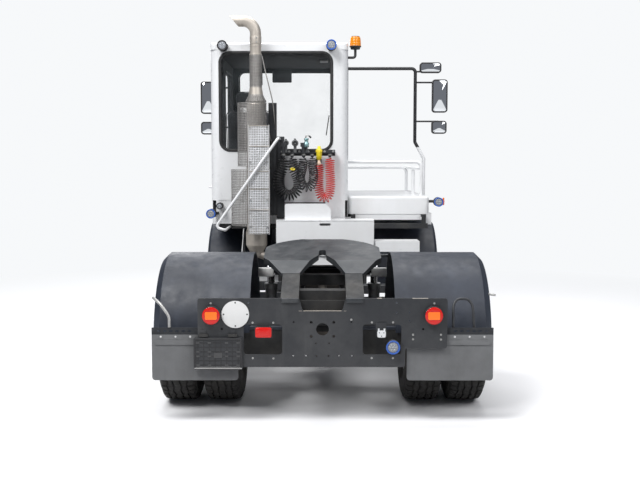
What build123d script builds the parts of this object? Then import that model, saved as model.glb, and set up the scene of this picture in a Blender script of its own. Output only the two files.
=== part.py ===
from build123d import *
import os
from math import cos, radians, sin

os.makedirs("parts", exist_ok=True)

# A white terminal tractor: one-man cab on the left, engine hood with a guard rail on the right,
# a lifting fifth wheel over the rear axle. Millimetres, +Y forward, +X to the right, +Z up.
# The origin is on the ground in the middle of the vehicle's length and width.

# Overall sizes
LENGTH = 5300
WHEELBASE = 3100
REAR_OVERHANG = 785
LAMP_PROUD = 35
PLATE_T = 15
Y_REAR = -LENGTH / 2
Y_FRONT = LENGTH / 2
Y_PLATE = Y_REAR + LAMP_PROUD
Y_REAR_AXLE = Y_PLATE + REAR_OVERHANG
Y_FRONT_AXLE = Y_REAR_AXLE + WHEELBASE
PIN_GAP = 0.3
MOVE_GAP = 6

# Wheels
TYRE_R = 525
TYRE_W = 286
RIM_R = 286
RIM_W = 210
RIM_T = 12
DUAL_PITCH = 335
DUAL_X = 925
FRONT_X = 1010
HUB_R = 110
SPINDLE_R = 45
Z_AXLE = TYRE_R

# Chassis rails
RAIL_X_REAR = 245
RAIL_X_FRONT = 400
RAIL_W = 80
RAIL_H = 240
RAIL_T = 10
RAIL_TOP = 860
RAIL_BOTTOM = RAIL_TOP - RAIL_H
Y_SPLAY_REAR = -150
Y_SPLAY_FRONT = 160
Y_RAIL_FRONT = Y_FRONT - 170
Y_RAIL_REAR = Y_PLATE + PLATE_T

# Lifting boom, its pivot and cylinders
Y_KINGPIN = Y_REAR_AXLE + 200
Y_BOOM = -250
Z_BOOM = 790
BOOM_SHAFT_R = 30
BOOM_ARM_X = 150
BOOM_ARM_T = 25
Y_ROD_PIN = -1370
Z_ROD_PIN = 960
Y_BARREL_PIN = -1340
Z_BARREL_PIN = 400
LIFT_X = 430
LIFT_EYE_W = 50
LIFT_PIN_R = 22
LIFT_PIN_END = LIFT_X + LIFT_EYE_W / 2 + 12
BARREL_R = 48
BARREL_L = 455
ROD_R = 30
EYE_R = 46
DRIFT = 7

# Fifth wheel
Z_PIVOT = 1040
PLATE_RISE = 110
FIFTH_T = 42
FIFTH_W = 920
FIFTH_FRONT = 430
FIFTH_REAR = 480
FIFTH_TILT = 9
THROAT_W = 350
JAW_R = 27
EAR_X = 300
EAR_T = 30
EAR_R = 45
FIFTH_PIN_R = 25

# Front axle and steering
KNUCKLE_X = 850
KINGPIN_R = 22
BEAM_EYE_R = 52
BEAM_EYE_H = 150
EAR_H = 42
ARM_REACH = 200
SPRING_REACH = 620
SPRING_W = 80

# Cab
CAB_X0 = -1120
CAB_X1 = 256
Y_CAB_BACK = 320
CAB_LENGTH = 2180
Z_CAB_FLOOR = 1290
Z_CAB_SKIRT = 1474
Z_CAB_TOP = 3046
ROOF_T = 75
WALL_T = 50
CAB_CORNER_R = 90
FLOOR_T = 50
SCREEN_LEAN = 150
GLASS_T = 6
GLASS_GAP = 0.3
REAR_WINDOW = (-1021, 92, 1975, 2944)
REAR_WINDOW_R = 100
DOOR_Y0 = 470
DOOR_Y1 = 1290
DOOR_HINGE_R = 9

# Engine hood and guard rail
HOOD_X0 = 262
HOOD_X1 = 1084
HOOD_TOP = 1510
HOOD_BOTTOM = 1331
HOOD_REAR = 430

# Places worked out from the sizes above
Y_CAB_FRONT = Y_CAB_BACK + CAB_LENGTH
Z_ROOF = Z_CAB_TOP - ROOF_T
HOOD_FRONT = Y_CAB_FRONT - 20
CAB_W = CAB_X1 - CAB_X0
CAB_MID = (CAB_X0 + CAB_X1) / 2
Z_BEAM = Z_CAB_FLOOR - FLOOR_T
BEAM_H = 50
Y_BEAM_REAR = Y_CAB_BACK + 60
Y_BEAM_FRONT = Y_CAB_FRONT - 80
SIDES = ((-1, "left"), (1, "right"))


def side_plane(x=0):
    """A plane across the vehicle's width: its x runs forward and its y runs up."""
    return Plane(origin=(x, 0, 0), x_dir=(0, 1, 0), z_dir=(1, 0, 0))


def back_plane(y=0):
    """A plane across the vehicle's length, seen from behind: its x runs right and its y runs up."""
    return Plane(origin=(0, y, 0), x_dir=(1, 0, 0), z_dir=(0, -1, 0))


def slab(x, y, z, mode=Mode.ADD):
    """A plain rectangular bar between two values on each axis."""
    sizes = [high - low for low, high in (x, y, z)]
    middle = [(high + low) / 2 for low, high in (x, y, z)]
    with Locations(tuple(middle)):
        Box(*sizes, mode=mode)


def cross_bar(radius, x, y, z, mode=Mode.ADD):
    """A round bar along the vehicle's width, from x[0] to x[1]."""
    with Locations(((x[0] + x[1]) / 2, y, z)):
        Cylinder(radius, abs(x[1] - x[0]), rotation=(0, 90, 0), mode=mode)


def side_panel(points, x0, x1, mode=Mode.ADD):
    """A plate with the given outline of (y, z) points, between two widths."""
    with BuildSketch(side_plane(min(x0, x1))) as outline:
        with BuildLine():
            Polyline(*points, close=True)
        make_face()
    extrude(outline.sketch, amount=abs(x1 - x0), mode=mode)


def pipe(points, bend, radius):
    """A round bar along straight runs that are joined by arcs of one radius."""
    with BuildLine() as run:
        if len(points) > 2:
            FilletPolyline(*points, radius=bend)
        else:
            Line(*points)
    with BuildSketch(Plane(origin=run.line @ 0, z_dir=run.line % 0)) as ring:
        Circle(radius)
    sweep(ring.sketch, path=run.line)


# Chassis frame: two channel rails, wider in front, with their cross members and brackets
RAIL_PATH = (
    (RAIL_X_REAR, Y_RAIL_REAR),
    (RAIL_X_REAR, Y_SPLAY_REAR),
    (RAIL_X_FRONT, Y_SPLAY_FRONT),
    (RAIL_X_FRONT, Y_RAIL_FRONT),
)
RAIL_OUT = RAIL_X_REAR + RAIL_W / 2
# Each row: place along the vehicle, height, middle of the rail there, radius
CROSS_TUBES = (
    (-2450, 740, RAIL_X_REAR, 60),
    (-1010, RAIL_BOTTOM + 48, RAIL_X_REAR, 26),
    (200, RAIL_TOP - 46, RAIL_X_FRONT, 34),
    (2260, 740, RAIL_X_FRONT, 60),
)
RAMP_X = (170, 300)
RAMP_FRONT = (-2140, 1022)
RAMP_REAR = (Y_RAIL_REAR, 868)


def rail_band(side, out, inner):
    """The plan of a strip of the rail between two distances from its middle line."""
    outer_edge = [(side * (x + out), y) for x, y in RAIL_PATH]
    inner_edge = [(side * (x + inner), y) for x, y in reversed(RAIL_PATH)]
    return outer_edge + inner_edge


with BuildPart() as chassis_frame:
    half = RAIL_W / 2
    # Each row: bottom of the strip, its height, its outer and inner edge from the rail's middle
    for bottom, height, out, inner in (
        (RAIL_BOTTOM, RAIL_H, half, half - RAIL_T),
        (RAIL_BOTTOM, RAIL_T, half, -half),
        (RAIL_TOP - RAIL_T, RAIL_T, half, -half),
    ):
        for side, word in SIDES:
            with BuildSketch(Plane.XY.offset(bottom)):
                with BuildLine():
                    Polyline(*rail_band(side, out, inner), close=True)
                make_face()
            extrude(amount=height)
    for y, height, rail_x, radius in CROSS_TUBES:
        reach = rail_x + half - RAIL_T / 2
        cross_bar(radius, (-reach, reach), y, height)
    cross_bar(BOOM_SHAFT_R, (-RAIL_OUT - 12, RAIL_OUT + 12), Y_BOOM, Z_BOOM)
    for side, word in SIDES:
        # Boss that holds the boom's shaft
        cross_bar(52, (side * (BOOM_ARM_X + BOOM_ARM_T + MOVE_GAP), side * RAIL_OUT), Y_BOOM, Z_BOOM)
        # Hanger and pin for the foot of the lift cylinder
        side_panel(
            [
                (Y_BARREL_PIN - 150, RAIL_TOP - 60),
                (Y_BARREL_PIN + 65, RAIL_TOP - 60),
                (Y_BARREL_PIN + 55, Z_BARREL_PIN - 45),
                (Y_BARREL_PIN - 55, Z_BARREL_PIN - 45),
            ],
            side * RAIL_OUT,
            side * (RAIL_OUT + 14),
        )
        cross_bar(40, (side * RAIL_OUT, side * (LIFT_X - BARREL_R - MOVE_GAP)), Y_BARREL_PIN, Z_BARREL_PIN)
        cross_bar(LIFT_PIN_R, (side * RAIL_OUT, side * LIFT_PIN_END), Y_BARREL_PIN, Z_BARREL_PIN)
        # Ramp that guides a trailer's plate up to the fifth wheel
        side_panel(
            [RAMP_REAR, RAMP_FRONT, (RAMP_FRONT[0], RAIL_TOP - 5), (RAMP_REAR[0], RAIL_TOP - 5)],
            side * RAMP_X[0],
            side * RAMP_X[1],
        )
    slab((-RAMP_X[0], RAMP_X[0]), (-2330, -2200), (RAIL_TOP - 10, RAIL_TOP + 60))
chassis_frame.part.label = "chassis_frame"
export_step(chassis_frame.part, "parts/chassis_frame.step")


# Cab subframe: two beams on four posts, with the ledge that carries the engine hood
with BuildPart() as cab_subframe:
    for y in (Y_BEAM_REAR, Y_BEAM_FRONT):
        slab((CAB_X0 + 60, HOOD_X1 - 20), (y - 30, y + 30), (Z_BEAM - BEAM_H, Z_BEAM))
        for side, word in SIDES:
            slab(
                (side * RAIL_X_FRONT - 35, side * RAIL_X_FRONT + 35),
                (y - 30, y + 30),
                (RAIL_TOP, Z_BEAM - BEAM_H),
            )
    for x in (HOOD_X0 + 45, HOOD_X1 - 60):
        slab((x - 20, x + 20), (Y_BEAM_REAR - 30, Y_BEAM_REAR + 30), (Z_BEAM, HOOD_BOTTOM))
        slab((x - 20, x + 20), (Y_BEAM_FRONT - 30, Y_BEAM_FRONT + 30), (Z_BEAM, HOOD_BOTTOM))
        slab((x - 20, x + 20), (Y_BEAM_REAR - 30, Y_BEAM_FRONT + 30), (HOOD_BOTTOM - 30, HOOD_BOTTOM))
cab_subframe.part.label = "cab_subframe"
export_step(cab_subframe.part, "parts/cab_subframe.step")


# Rear plate: lamp board and lower apron in one steel sheet, with two windows and a notch
PLATE_HALF = 883
PLATE_TOP = 904
WING_BOTTOM = 548
APRON_HALF = 585
APRON_BOTTOM = 412
NOTCH = (165, 90)
WINDOW_X = (285, 558)
WINDOW_Z = (500, 717)
HITCH_Z = 682
HITCH_R = 45
HITCH_BOLT_R = 10.5
HITCH_X = 160
HITCH_DZ = 100
# Small holes. Each row: place across, height, radius
PLATE_HOLES = (
    (43, 492, 6),
    (118, 492, 6),
    (208, 492, 6),
    (46, 583, 6),
    (204, 734, 6),
    (524, 872, 7),
    (524, 802, 7),
    (615, 802, 7),
    (615, 742, 7),
    (712, 684, 8),
)
with BuildPart() as rear_plate:
    with BuildSketch(back_plane(Y_RAIL_REAR)) as plate_face:
        with BuildLine():
            Polyline(
                (-PLATE_HALF, PLATE_TOP),
                (-NOTCH[0], PLATE_TOP),
                (-NOTCH[0] + 25, PLATE_TOP - NOTCH[1]),
                (NOTCH[0] - 25, PLATE_TOP - NOTCH[1]),
                (NOTCH[0], PLATE_TOP),
                (PLATE_HALF, PLATE_TOP),
                (PLATE_HALF, WING_BOTTOM),
                (APRON_HALF, WING_BOTTOM),
                (APRON_HALF, APRON_BOTTOM),
                (-APRON_HALF, APRON_BOTTOM),
                (-APRON_HALF, WING_BOTTOM),
                (-PLATE_HALF, WING_BOTTOM),
                close=True,
            )
        make_face()
        fillet(plate_face.vertices(), 18)
        for side, word in SIDES:
            with Locations((side * sum(WINDOW_X) / 2, sum(WINDOW_Z) / 2)):
                window = (WINDOW_X[1] - WINDOW_X[0], WINDOW_Z[1] - WINDOW_Z[0])
                RectangleRounded(*window, 22, mode=Mode.SUBTRACT)
        with Locations((0, HITCH_Z)):
            Circle(HITCH_R, mode=Mode.SUBTRACT)
            with GridLocations(HITCH_X, HITCH_DZ, 2, 2):
                Circle(HITCH_BOLT_R, mode=Mode.SUBTRACT)
        for x, z, radius in PLATE_HOLES:
            with Locations((-x, z), (x, z)):
                Circle(radius, mode=Mode.SUBTRACT)
    extrude(amount=PLATE_T)
rear_plate.part.label = "rear_plate"
export_step(rear_plate.part, "parts/rear_plate.step")


# Lamps in the rear plate: two round tail lamps, a red marker and a work lamp in the windows
TAIL_X = 785
TAIL_Z = 784
TAIL_R = 68
MARKER = (-478, -355, 624, 705)
WORK_LAMP = (498, 558, 50)
with BuildPart() as rear_lamps:
    for side, word in SIDES:
        with BuildSketch(back_plane(Y_PLATE)):
            with Locations((side * TAIL_X, TAIL_Z)):
                Circle(TAIL_R)
        extrude(amount=LAMP_PROUD - 8)
        with BuildSketch(back_plane(Y_PLATE - LAMP_PROUD + 8)):
            with Locations((side * TAIL_X, TAIL_Z)):
                Circle(TAIL_R - 5)
        extrude(amount=8, taper=30)
    slab(MARKER[:2], (Y_PLATE - 28, Y_PLATE), MARKER[2:])
    slab((MARKER[0] + 20, MARKER[1] - 20), (Y_PLATE - 5, Y_PLATE), (MARKER[3], WINDOW_Z[1] + 12))
    with Locations((WORK_LAMP[0], Y_PLATE - 8, WORK_LAMP[1])):
        Cylinder(WORK_LAMP[2], 46, rotation=(90, 0, 0))
    lamp_z = WORK_LAMP[1]
    slab((WORK_LAMP[0] - 12, WINDOW_X[1] + 16), (Y_PLATE - 6, Y_PLATE), (lamp_z - 15, lamp_z + 15))
rear_lamps.part.label = "rear_lamps"
export_step(rear_lamps.part, "parts/rear_lamps.step")


# Fittings on the rear plate: a bare disc, a bare plate holder on two straps and a lashing hook
DISC = (-616, 790, 100)
HOLDER = (-911, -565, 398, 626)
HOOK = (415, 642)
with BuildPart() as rear_fittings:
    with BuildSketch(back_plane(Y_PLATE)):
        with Locations(DISC[:2]):
            Circle(DISC[2])
    extrude(amount=3)
    with BuildSketch(back_plane(Y_PLATE - 4)):
        with Locations(((HOLDER[0] + HOLDER[1]) / 2, (HOLDER[2] + HOLDER[3]) / 2)):
            RectangleRounded(HOLDER[1] - HOLDER[0], HOLDER[3] - HOLDER[2], 12)
    extrude(amount=18)
    for x in (HOLDER[0] + 70, HOLDER[1] - 70):
        slab((x - 20, x + 20), (Y_PLATE - 4, Y_PLATE), (WING_BOTTOM + 20, HOLDER[3] + 55))
    slab((HOOK[0] - 36, HOOK[0] + 36), (Y_PLATE - 10, Y_PLATE), (HOOK[1] - 8, WINDOW_Z[1] + 14))
    with BuildSketch(back_plane(Y_PLATE - 10)):
        with Locations((HOOK[0], HOOK[1] + 10)):
            RectangleRounded(48, 50, 20)
            Circle(13, mode=Mode.SUBTRACT)
    extrude(amount=22)
rear_fittings.part.label = "rear_fittings"
export_step(rear_fittings.part, "parts/rear_fittings.step")


# Mudflaps behind the twin wheels, each hung on a perforated angle from the plate's wing
FLAP_X = (600, 1215)
FLAP_Z = (310, 605)
FLAP_T = 8
HANGER_Z = (640, 690)
Y_FLAP = Y_RAIL_REAR + 12
with BuildPart() as mudflaps:
    for side, word in SIDES:
        middle = side * sum(FLAP_X) / 2
        width = FLAP_X[1] - FLAP_X[0]
        with BuildSketch(back_plane(Y_FLAP + FLAP_T)):
            with Locations((middle, sum(FLAP_Z) / 2)):
                RectangleRounded(width, FLAP_Z[1] - FLAP_Z[0], 24)
        extrude(amount=FLAP_T)
        # Clamp strip along the flap's top edge, and the angle above it that runs to the plate
        with BuildSketch(back_plane(Y_FLAP)):
            with Locations((middle, FLAP_Z[1] - 22)):
                SlotOverall(width - 40, 34)
        extrude(amount=5)
        strip_x = sorted((side * (FLAP_X[0] + 10), side * FLAP_X[1]))
        slab(strip_x, (Y_FLAP, Y_FLAP + 5), (FLAP_Z[1] - 30, HANGER_Z[1]))
        with BuildSketch(back_plane(Y_FLAP)):
            with Locations((side * (FLAP_X[1] - 160), sum(HANGER_Z) / 2)):
                with GridLocations(44, 1, 6, 1):
                    SlotOverall(26, 14)
        extrude(amount=-5, mode=Mode.SUBTRACT)
        slab(
            sorted((side * (PLATE_HALF - 60), side * (PLATE_HALF - 10))),
            (Y_RAIL_REAR, Y_FLAP),
            (HANGER_Z[0], HANGER_Z[1]),
        )
mudflaps.part.label = "mudflaps"
export_step(mudflaps.part, "parts/mudflaps.step")


# Rigid rear axle: tube, round final-drive housing with its nose, pads under the rails, spindles
DIFF_R = 200
AXLE_TUBE_R = 72
DUAL_INNER = DUAL_X - DUAL_PITCH / 2 - TYRE_W / 2
REAR_SPINDLE_END = DUAL_X + 30
BRAKE_X = 445
with BuildPart() as rear_axle:
    with BuildSketch(back_plane(Y_REAR_AXLE)):
        with BuildLine():
            Polyline(
                (-DUAL_INNER + 45, Z_AXLE),
                (-DUAL_INNER + 45, Z_AXLE + AXLE_TUBE_R + 14),
                (-DUAL_INNER + 90, Z_AXLE + AXLE_TUBE_R),
                (-195, Z_AXLE + AXLE_TUBE_R),
                (-110, Z_AXLE + DIFF_R),
                (110, Z_AXLE + DIFF_R),
                (195, Z_AXLE + AXLE_TUBE_R),
                (DUAL_INNER - 90, Z_AXLE + AXLE_TUBE_R),
                (DUAL_INNER - 45, Z_AXLE + AXLE_TUBE_R + 14),
                (DUAL_INNER - 45, Z_AXLE),
                close=True,
            )
        make_face()
    revolve(axis=Axis((0, Y_REAR_AXLE, Z_AXLE), (1, 0, 0)))
    with Locations((0, Y_REAR_AXLE + DIFF_R + 40, Z_AXLE)):
        Cylinder(85, 160, rotation=(90, 0, 0))
    cross_bar(SPINDLE_R, (-REAR_SPINDLE_END, REAR_SPINDLE_END), Y_REAR_AXLE, Z_AXLE)
    for side, word in SIDES:
        # Brake chamber behind the tube, on its bracket
        with BuildSketch(back_plane(Y_REAR_AXLE - 120)) as chamber:
            with Locations((side * BRAKE_X, Z_AXLE + 10)):
                Circle(82)
        extrude(chamber.sketch, amount=190)
        with BuildSketch(back_plane(Y_REAR_AXLE - 205)) as band:
            with Locations((side * BRAKE_X, Z_AXLE + 10)):
                Circle(90)
        extrude(band.sketch, amount=16)
        slab(
            (side * BRAKE_X - 45, side * BRAKE_X + 45),
            (Y_REAR_AXLE - 125, Y_REAR_AXLE - 30),
            (Z_AXLE - 30, Z_AXLE + 50),
        )
        slab(
            sorted((side * (RAIL_OUT - RAIL_W), side * RAIL_OUT)),
            (Y_REAR_AXLE - 130, Y_REAR_AXLE + 130),
            (Z_AXLE + 40, RAIL_BOTTOM),
        )
rear_axle.part.label = "rear_axle"
export_step(rear_axle.part, "parts/rear_axle.step")


# Front axle: dropped beam with an eye at each end, and a leaf spring under each rail
BEAM_DROP = 75
Z_LEAF = Z_AXLE - BEAM_DROP + 55
LEAF_RISE = RAIL_BOTTOM - 38
with BuildPart() as front_axle:
    with BuildSketch(back_plane(Y_FRONT_AXLE + 42)) as beam_face:
        with BuildLine():
            Polyline(
                (-KNUCKLE_X, Z_AXLE + 45),
                (-KNUCKLE_X + 170, Z_AXLE + 45),
                (-SPRING_W / 2 - RAIL_X_FRONT - 60, Z_AXLE - BEAM_DROP + 55),
                (SPRING_W / 2 + RAIL_X_FRONT + 60, Z_AXLE - BEAM_DROP + 55),
                (KNUCKLE_X - 170, Z_AXLE + 45),
                (KNUCKLE_X, Z_AXLE + 45),
                (KNUCKLE_X, Z_AXLE - 45),
                (KNUCKLE_X - 150, Z_AXLE - 45),
                (SPRING_W / 2 + RAIL_X_FRONT + 80, Z_AXLE - BEAM_DROP - 50),
                (-SPRING_W / 2 - RAIL_X_FRONT - 80, Z_AXLE - BEAM_DROP - 50),
                (-KNUCKLE_X + 150, Z_AXLE - 45),
                (-KNUCKLE_X, Z_AXLE - 45),
                close=True,
            )
        make_face()
    extrude(amount=84)
    for side, word in SIDES:
        with Locations((side * KNUCKLE_X, Y_FRONT_AXLE, Z_AXLE)):
            Cylinder(BEAM_EYE_R, BEAM_EYE_H)
            Cylinder(KINGPIN_R + PIN_GAP, BEAM_EYE_H, mode=Mode.SUBTRACT)
    for side, word in SIDES:
        # Leaf spring from hanger to hanger under the rail
        spring_x = side * RAIL_X_FRONT
        front_end = Y_FRONT_AXLE + SPRING_REACH
        rear_end = Y_FRONT_AXLE - SPRING_REACH
        with BuildSketch(side_plane(spring_x - SPRING_W / 2)) as leaf:
            with BuildLine():
                ThreePointArc((rear_end, LEAF_RISE), (Y_FRONT_AXLE, Z_LEAF + 44), (front_end, LEAF_RISE))
                Line((front_end, LEAF_RISE), (front_end, LEAF_RISE - 14))
                Line((front_end, LEAF_RISE - 14), (Y_FRONT_AXLE + 130, Z_LEAF - 4))
                Line((Y_FRONT_AXLE + 130, Z_LEAF - 4), (Y_FRONT_AXLE - 130, Z_LEAF - 4))
                Line((Y_FRONT_AXLE - 130, Z_LEAF - 4), (rear_end, LEAF_RISE - 14))
                Line((rear_end, LEAF_RISE - 14), (rear_end, LEAF_RISE))
            make_face()
        extrude(leaf.sketch, amount=SPRING_W)
        for y in (rear_end, front_end):
            cross_bar(24, (spring_x - SPRING_W / 2, spring_x + SPRING_W / 2), y, LEAF_RISE)
            slab((spring_x - 30, spring_x + 30), (y - 24, y + 24), (LEAF_RISE, RAIL_BOTTOM))
front_axle.part.label = "front_axle"
export_step(front_axle.part, "parts/front_axle.step")


# Knuckles: two ears round the beam's eye with the kingpin, the wheel's spindle and a track arm
TIE_EYE_R = 24
for side, word in SIDES:
    x = side * KNUCKLE_X
    top = Z_AXLE + BEAM_EYE_H / 2 + MOVE_GAP
    bottom = Z_AXLE - BEAM_EYE_H / 2 - MOVE_GAP
    yoke = side * (KNUCKLE_X + BEAM_EYE_R + MOVE_GAP)
    with BuildPart() as knuckle:
        for low, high in ((top, top + EAR_H), (bottom - EAR_H, bottom)):
            with BuildSketch(Plane.XY.offset(low)):
                with Locations((x, Y_FRONT_AXLE)):
                    Circle(BEAM_EYE_R - 4)
                with Locations(((x + yoke + side * 22) / 2, Y_FRONT_AXLE)):
                    Rectangle(BEAM_EYE_R + MOVE_GAP + 22, 2 * BEAM_EYE_R - 8)
            extrude(amount=high - low)
        slab(
            sorted((yoke, yoke + side * 26)),
            (Y_FRONT_AXLE - BEAM_EYE_R + 4, Y_FRONT_AXLE + BEAM_EYE_R - 4),
            (bottom - EAR_H, top + EAR_H),
        )
        with Locations((x, Y_FRONT_AXLE, Z_AXLE)):
            Cylinder(KINGPIN_R, top - bottom + 2 * EAR_H)
        cross_bar(SPINDLE_R, (yoke, side * (FRONT_X + 70)), Y_FRONT_AXLE, Z_AXLE)
        # Track arm with the pin for the tie rod
        with BuildSketch(Plane.XY.offset(bottom - EAR_H)):
            with Locations((x, Y_FRONT_AXLE - ARM_REACH / 2)):
                Rectangle(38, ARM_REACH)
            with Locations((x, Y_FRONT_AXLE - ARM_REACH)):
                Circle(TIE_EYE_R)
        extrude(amount=24)
        with Locations((x, Y_FRONT_AXLE - ARM_REACH, bottom - EAR_H - 24)):
            Cylinder(11, 52)
    knuckle.part.label = f"knuckle_{word}"
    export_step(knuckle.part, f"parts/knuckle_{word}.step")

Z_TIE_ROD = Z_AXLE - BEAM_EYE_H / 2 - MOVE_GAP - EAR_H - 27
Y_TIE_ROD = Y_FRONT_AXLE - ARM_REACH
with BuildPart() as tie_rod:
    cross_bar(17, (-KNUCKLE_X + TIE_EYE_R - 4, KNUCKLE_X - TIE_EYE_R + 4), Y_TIE_ROD, Z_TIE_ROD)
    for side, word in SIDES:
        with Locations((side * KNUCKLE_X, Y_TIE_ROD, Z_TIE_ROD)):
            Cylinder(TIE_EYE_R, 36)
            Cylinder(11 + PIN_GAP, 60, mode=Mode.SUBTRACT)
tie_rod.part.label = "tie_rod"
export_step(tie_rod.part, "parts/tie_rod.step")


# Wheels. The profiles are drawn outwards from the axle line, as (distance along the axle, radius)
BEAD = RIM_W / 2
TYRE_PROFILE = (
    (-BEAD, RIM_R),
    (-BEAD, RIM_R + 18),
    (-TYRE_W / 2, RIM_R + 105),
    (-TYRE_W / 2 + 4, TYRE_R - 62),
    (-TYRE_W / 2 + 16, TYRE_R - 22),
    (-TYRE_W / 2 + 34, TYRE_R - 4),
    (0, TYRE_R),
)
HAND_HOLES = 8
DISC_T = 14
DISC_DISH = 60
STUD_R = 11
STUD_PCD = 335
STUDS = 10


def wheel_plane(x, y):
    """A plane through a wheel's axle line: its x runs along the axle and its y is the radius."""
    return Plane(origin=(x, y, Z_AXLE), x_dir=(1, 0, 0), z_dir=(0, -1, 0))


def add_tyre(x, y):
    """Turn one tyre about its axle line."""
    with BuildSketch(wheel_plane(x, y)) as section:
        with BuildLine():
            Polyline(*TYRE_PROFILE, *[(-u, r) for u, r in reversed(TYRE_PROFILE[:-1])], close=True)
        make_face()
    revolve(section.sketch, axis=Axis((x, y, Z_AXLE), (1, 0, 0)))


def add_rim(x, y, out):
    """Turn one rim with a dished disc whose face lies towards out, and cut its hand holes."""
    disc = out * DISC_DISH
    with BuildSketch(wheel_plane(x, y)) as section:
        with BuildLine():
            Polyline(
                (-BEAD - 1, RIM_R + 16),
                (-BEAD - 9, RIM_R + 16),
                (-BEAD - 9, RIM_R - RIM_T),
                (BEAD + 9, RIM_R - RIM_T),
                (BEAD + 9, RIM_R + 16),
                (BEAD + 1, RIM_R + 16),
                (BEAD + 1, RIM_R - 0.2),
                (-BEAD - 1, RIM_R - 0.2),
                close=True,
            )
        make_face()
        with BuildLine():
            Polyline(
                (disc - out * 34, RIM_R - RIM_T + 2),
                (disc - out * 34 - out * DISC_T, RIM_R - RIM_T + 2),
                (disc - out * DISC_T, HUB_R + 88),
                (disc - out * DISC_T, SPINDLE_R + PIN_GAP),
                (disc, SPINDLE_R + PIN_GAP),
                (disc, HUB_R + 88),
                close=True,
            )
        make_face()
    revolve(section.sketch, axis=Axis((x, y, Z_AXLE), (1, 0, 0)))
    face = Plane(origin=(x + disc, y, Z_AXLE), x_dir=(0, 1, 0), z_dir=(1, 0, 0))
    with BuildSketch(face) as holes:
        with PolarLocations((HUB_R + 88 + RIM_R) / 2 + 2, HAND_HOLES):
            Circle(24)
    extrude(holes.sketch, amount=90, both=True, mode=Mode.SUBTRACT)


def add_hub(x, y, low, high, radius):
    """A hub drum on the spindle, between two distances from the wheel's middle."""
    with BuildSketch(Plane(origin=(x + low, y, Z_AXLE), x_dir=(0, 1, 0), z_dir=(1, 0, 0))) as ring:
        Circle(radius)
        Circle(SPINDLE_R + PIN_GAP, mode=Mode.SUBTRACT)
    extrude(ring.sketch, amount=high - low)


for side, word in SIDES:
    inner_x = side * (DUAL_X - DUAL_PITCH / 2)
    outer_x = side * (DUAL_X + DUAL_PITCH / 2)
    with BuildPart() as rear_tyre:
        add_tyre(inner_x, Y_REAR_AXLE)
        add_tyre(outer_x, Y_REAR_AXLE)
    rear_tyre.part.label = f"rear_tyre_{word}"
    export_step(rear_tyre.part, f"parts/rear_tyre_{word}.step")

    # The outer disc is dished inwards and bolts back to back to the inner wheel's, on one hub
    with BuildPart() as rear_rim:
        add_rim(inner_x, Y_REAR_AXLE, side)
        add_rim(outer_x, Y_REAR_AXLE, -side)
        meet = sorted((side * DISC_DISH, side * (DUAL_PITCH - DISC_DISH)))
        add_hub(inner_x, Y_REAR_AXLE, meet[0], meet[1], HUB_R + 70)
        drum = sorted((-side * 125, side * DISC_DISH))
        add_hub(inner_x, Y_REAR_AXLE, drum[0], drum[1], HUB_R + 84)
        nave = sorted((side * (DUAL_PITCH - DISC_DISH - 5), side * (DUAL_PITCH + 70)))
        add_hub(inner_x, Y_REAR_AXLE, nave[0], nave[1], HUB_R)
        cross_bar(HUB_R - 8, (outer_x + side * 50, outer_x + side * 96), Y_REAR_AXLE, Z_AXLE)
        nut_x = outer_x - side * (DISC_DISH + 5)
        nut_face = Plane(origin=(nut_x, Y_REAR_AXLE, Z_AXLE), x_dir=(0, 1, 0), z_dir=(side, 0, 0))
        with BuildSketch(nut_face):
            with PolarLocations(STUD_PCD / 2, STUDS):
                Circle(STUD_R)
        extrude(amount=34)
    rear_rim.part.label = f"rear_rim_{word}"
    export_step(rear_rim.part, f"parts/rear_rim_{word}.step")

    front_x = side * FRONT_X
    with BuildPart() as front_tyre:
        add_tyre(front_x, Y_FRONT_AXLE)
    front_tyre.part.label = f"front_tyre_{word}"
    export_step(front_tyre.part, f"parts/front_tyre_{word}.step")

    with BuildPart() as front_rim:
        add_rim(front_x, Y_FRONT_AXLE, side)
        drum = sorted((-side * 60, side * DISC_DISH))
        add_hub(front_x, Y_FRONT_AXLE, drum[0], drum[1], HUB_R + 66)
        nave = sorted((side * (DISC_DISH - 5), side * (DISC_DISH + 44)))
        add_hub(front_x, Y_FRONT_AXLE, nave[0], nave[1], HUB_R - 20)
        cross_bar(HUB_R - 26, (front_x + side * 76, front_x + side * 118), Y_FRONT_AXLE, Z_AXLE)
        nut_x = front_x + side * (DISC_DISH - 5)
        nut_face = Plane(origin=(nut_x, Y_FRONT_AXLE, Z_AXLE), x_dir=(0, 1, 0), z_dir=(side, 0, 0))
        with BuildSketch(nut_face):
            with PolarLocations(STUD_PCD / 2, STUDS):
                Circle(STUD_R)
        extrude(amount=34)
    front_rim.part.label = f"front_rim_{word}"
    export_step(front_rim.part, f"parts/front_rim_{word}.step")


# Fenders: an arch of sheet over the wheels, chamfered outboard, with a lip and round stays
FENDER_IN = 530
FENDER_OUT = 1246
FENDER_R = 622
FENDER_T = 8
FENDER_LOW = 650
FENDER_CHAMFER = 60
FENDER_LIP = 40
FRONT_FENDER_IN = 540
FRONT_FENDER_OUT = 1205
FRONT_FENDER_R = 690
FRONT_FENDER_LOW = 560
FRONT_CHAMFER = 26
STAY_R = 18
Z_REAR_STAY = RAIL_BOTTOM + 42
Z_FRONT_STAY = RAIL_TOP - 34


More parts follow.
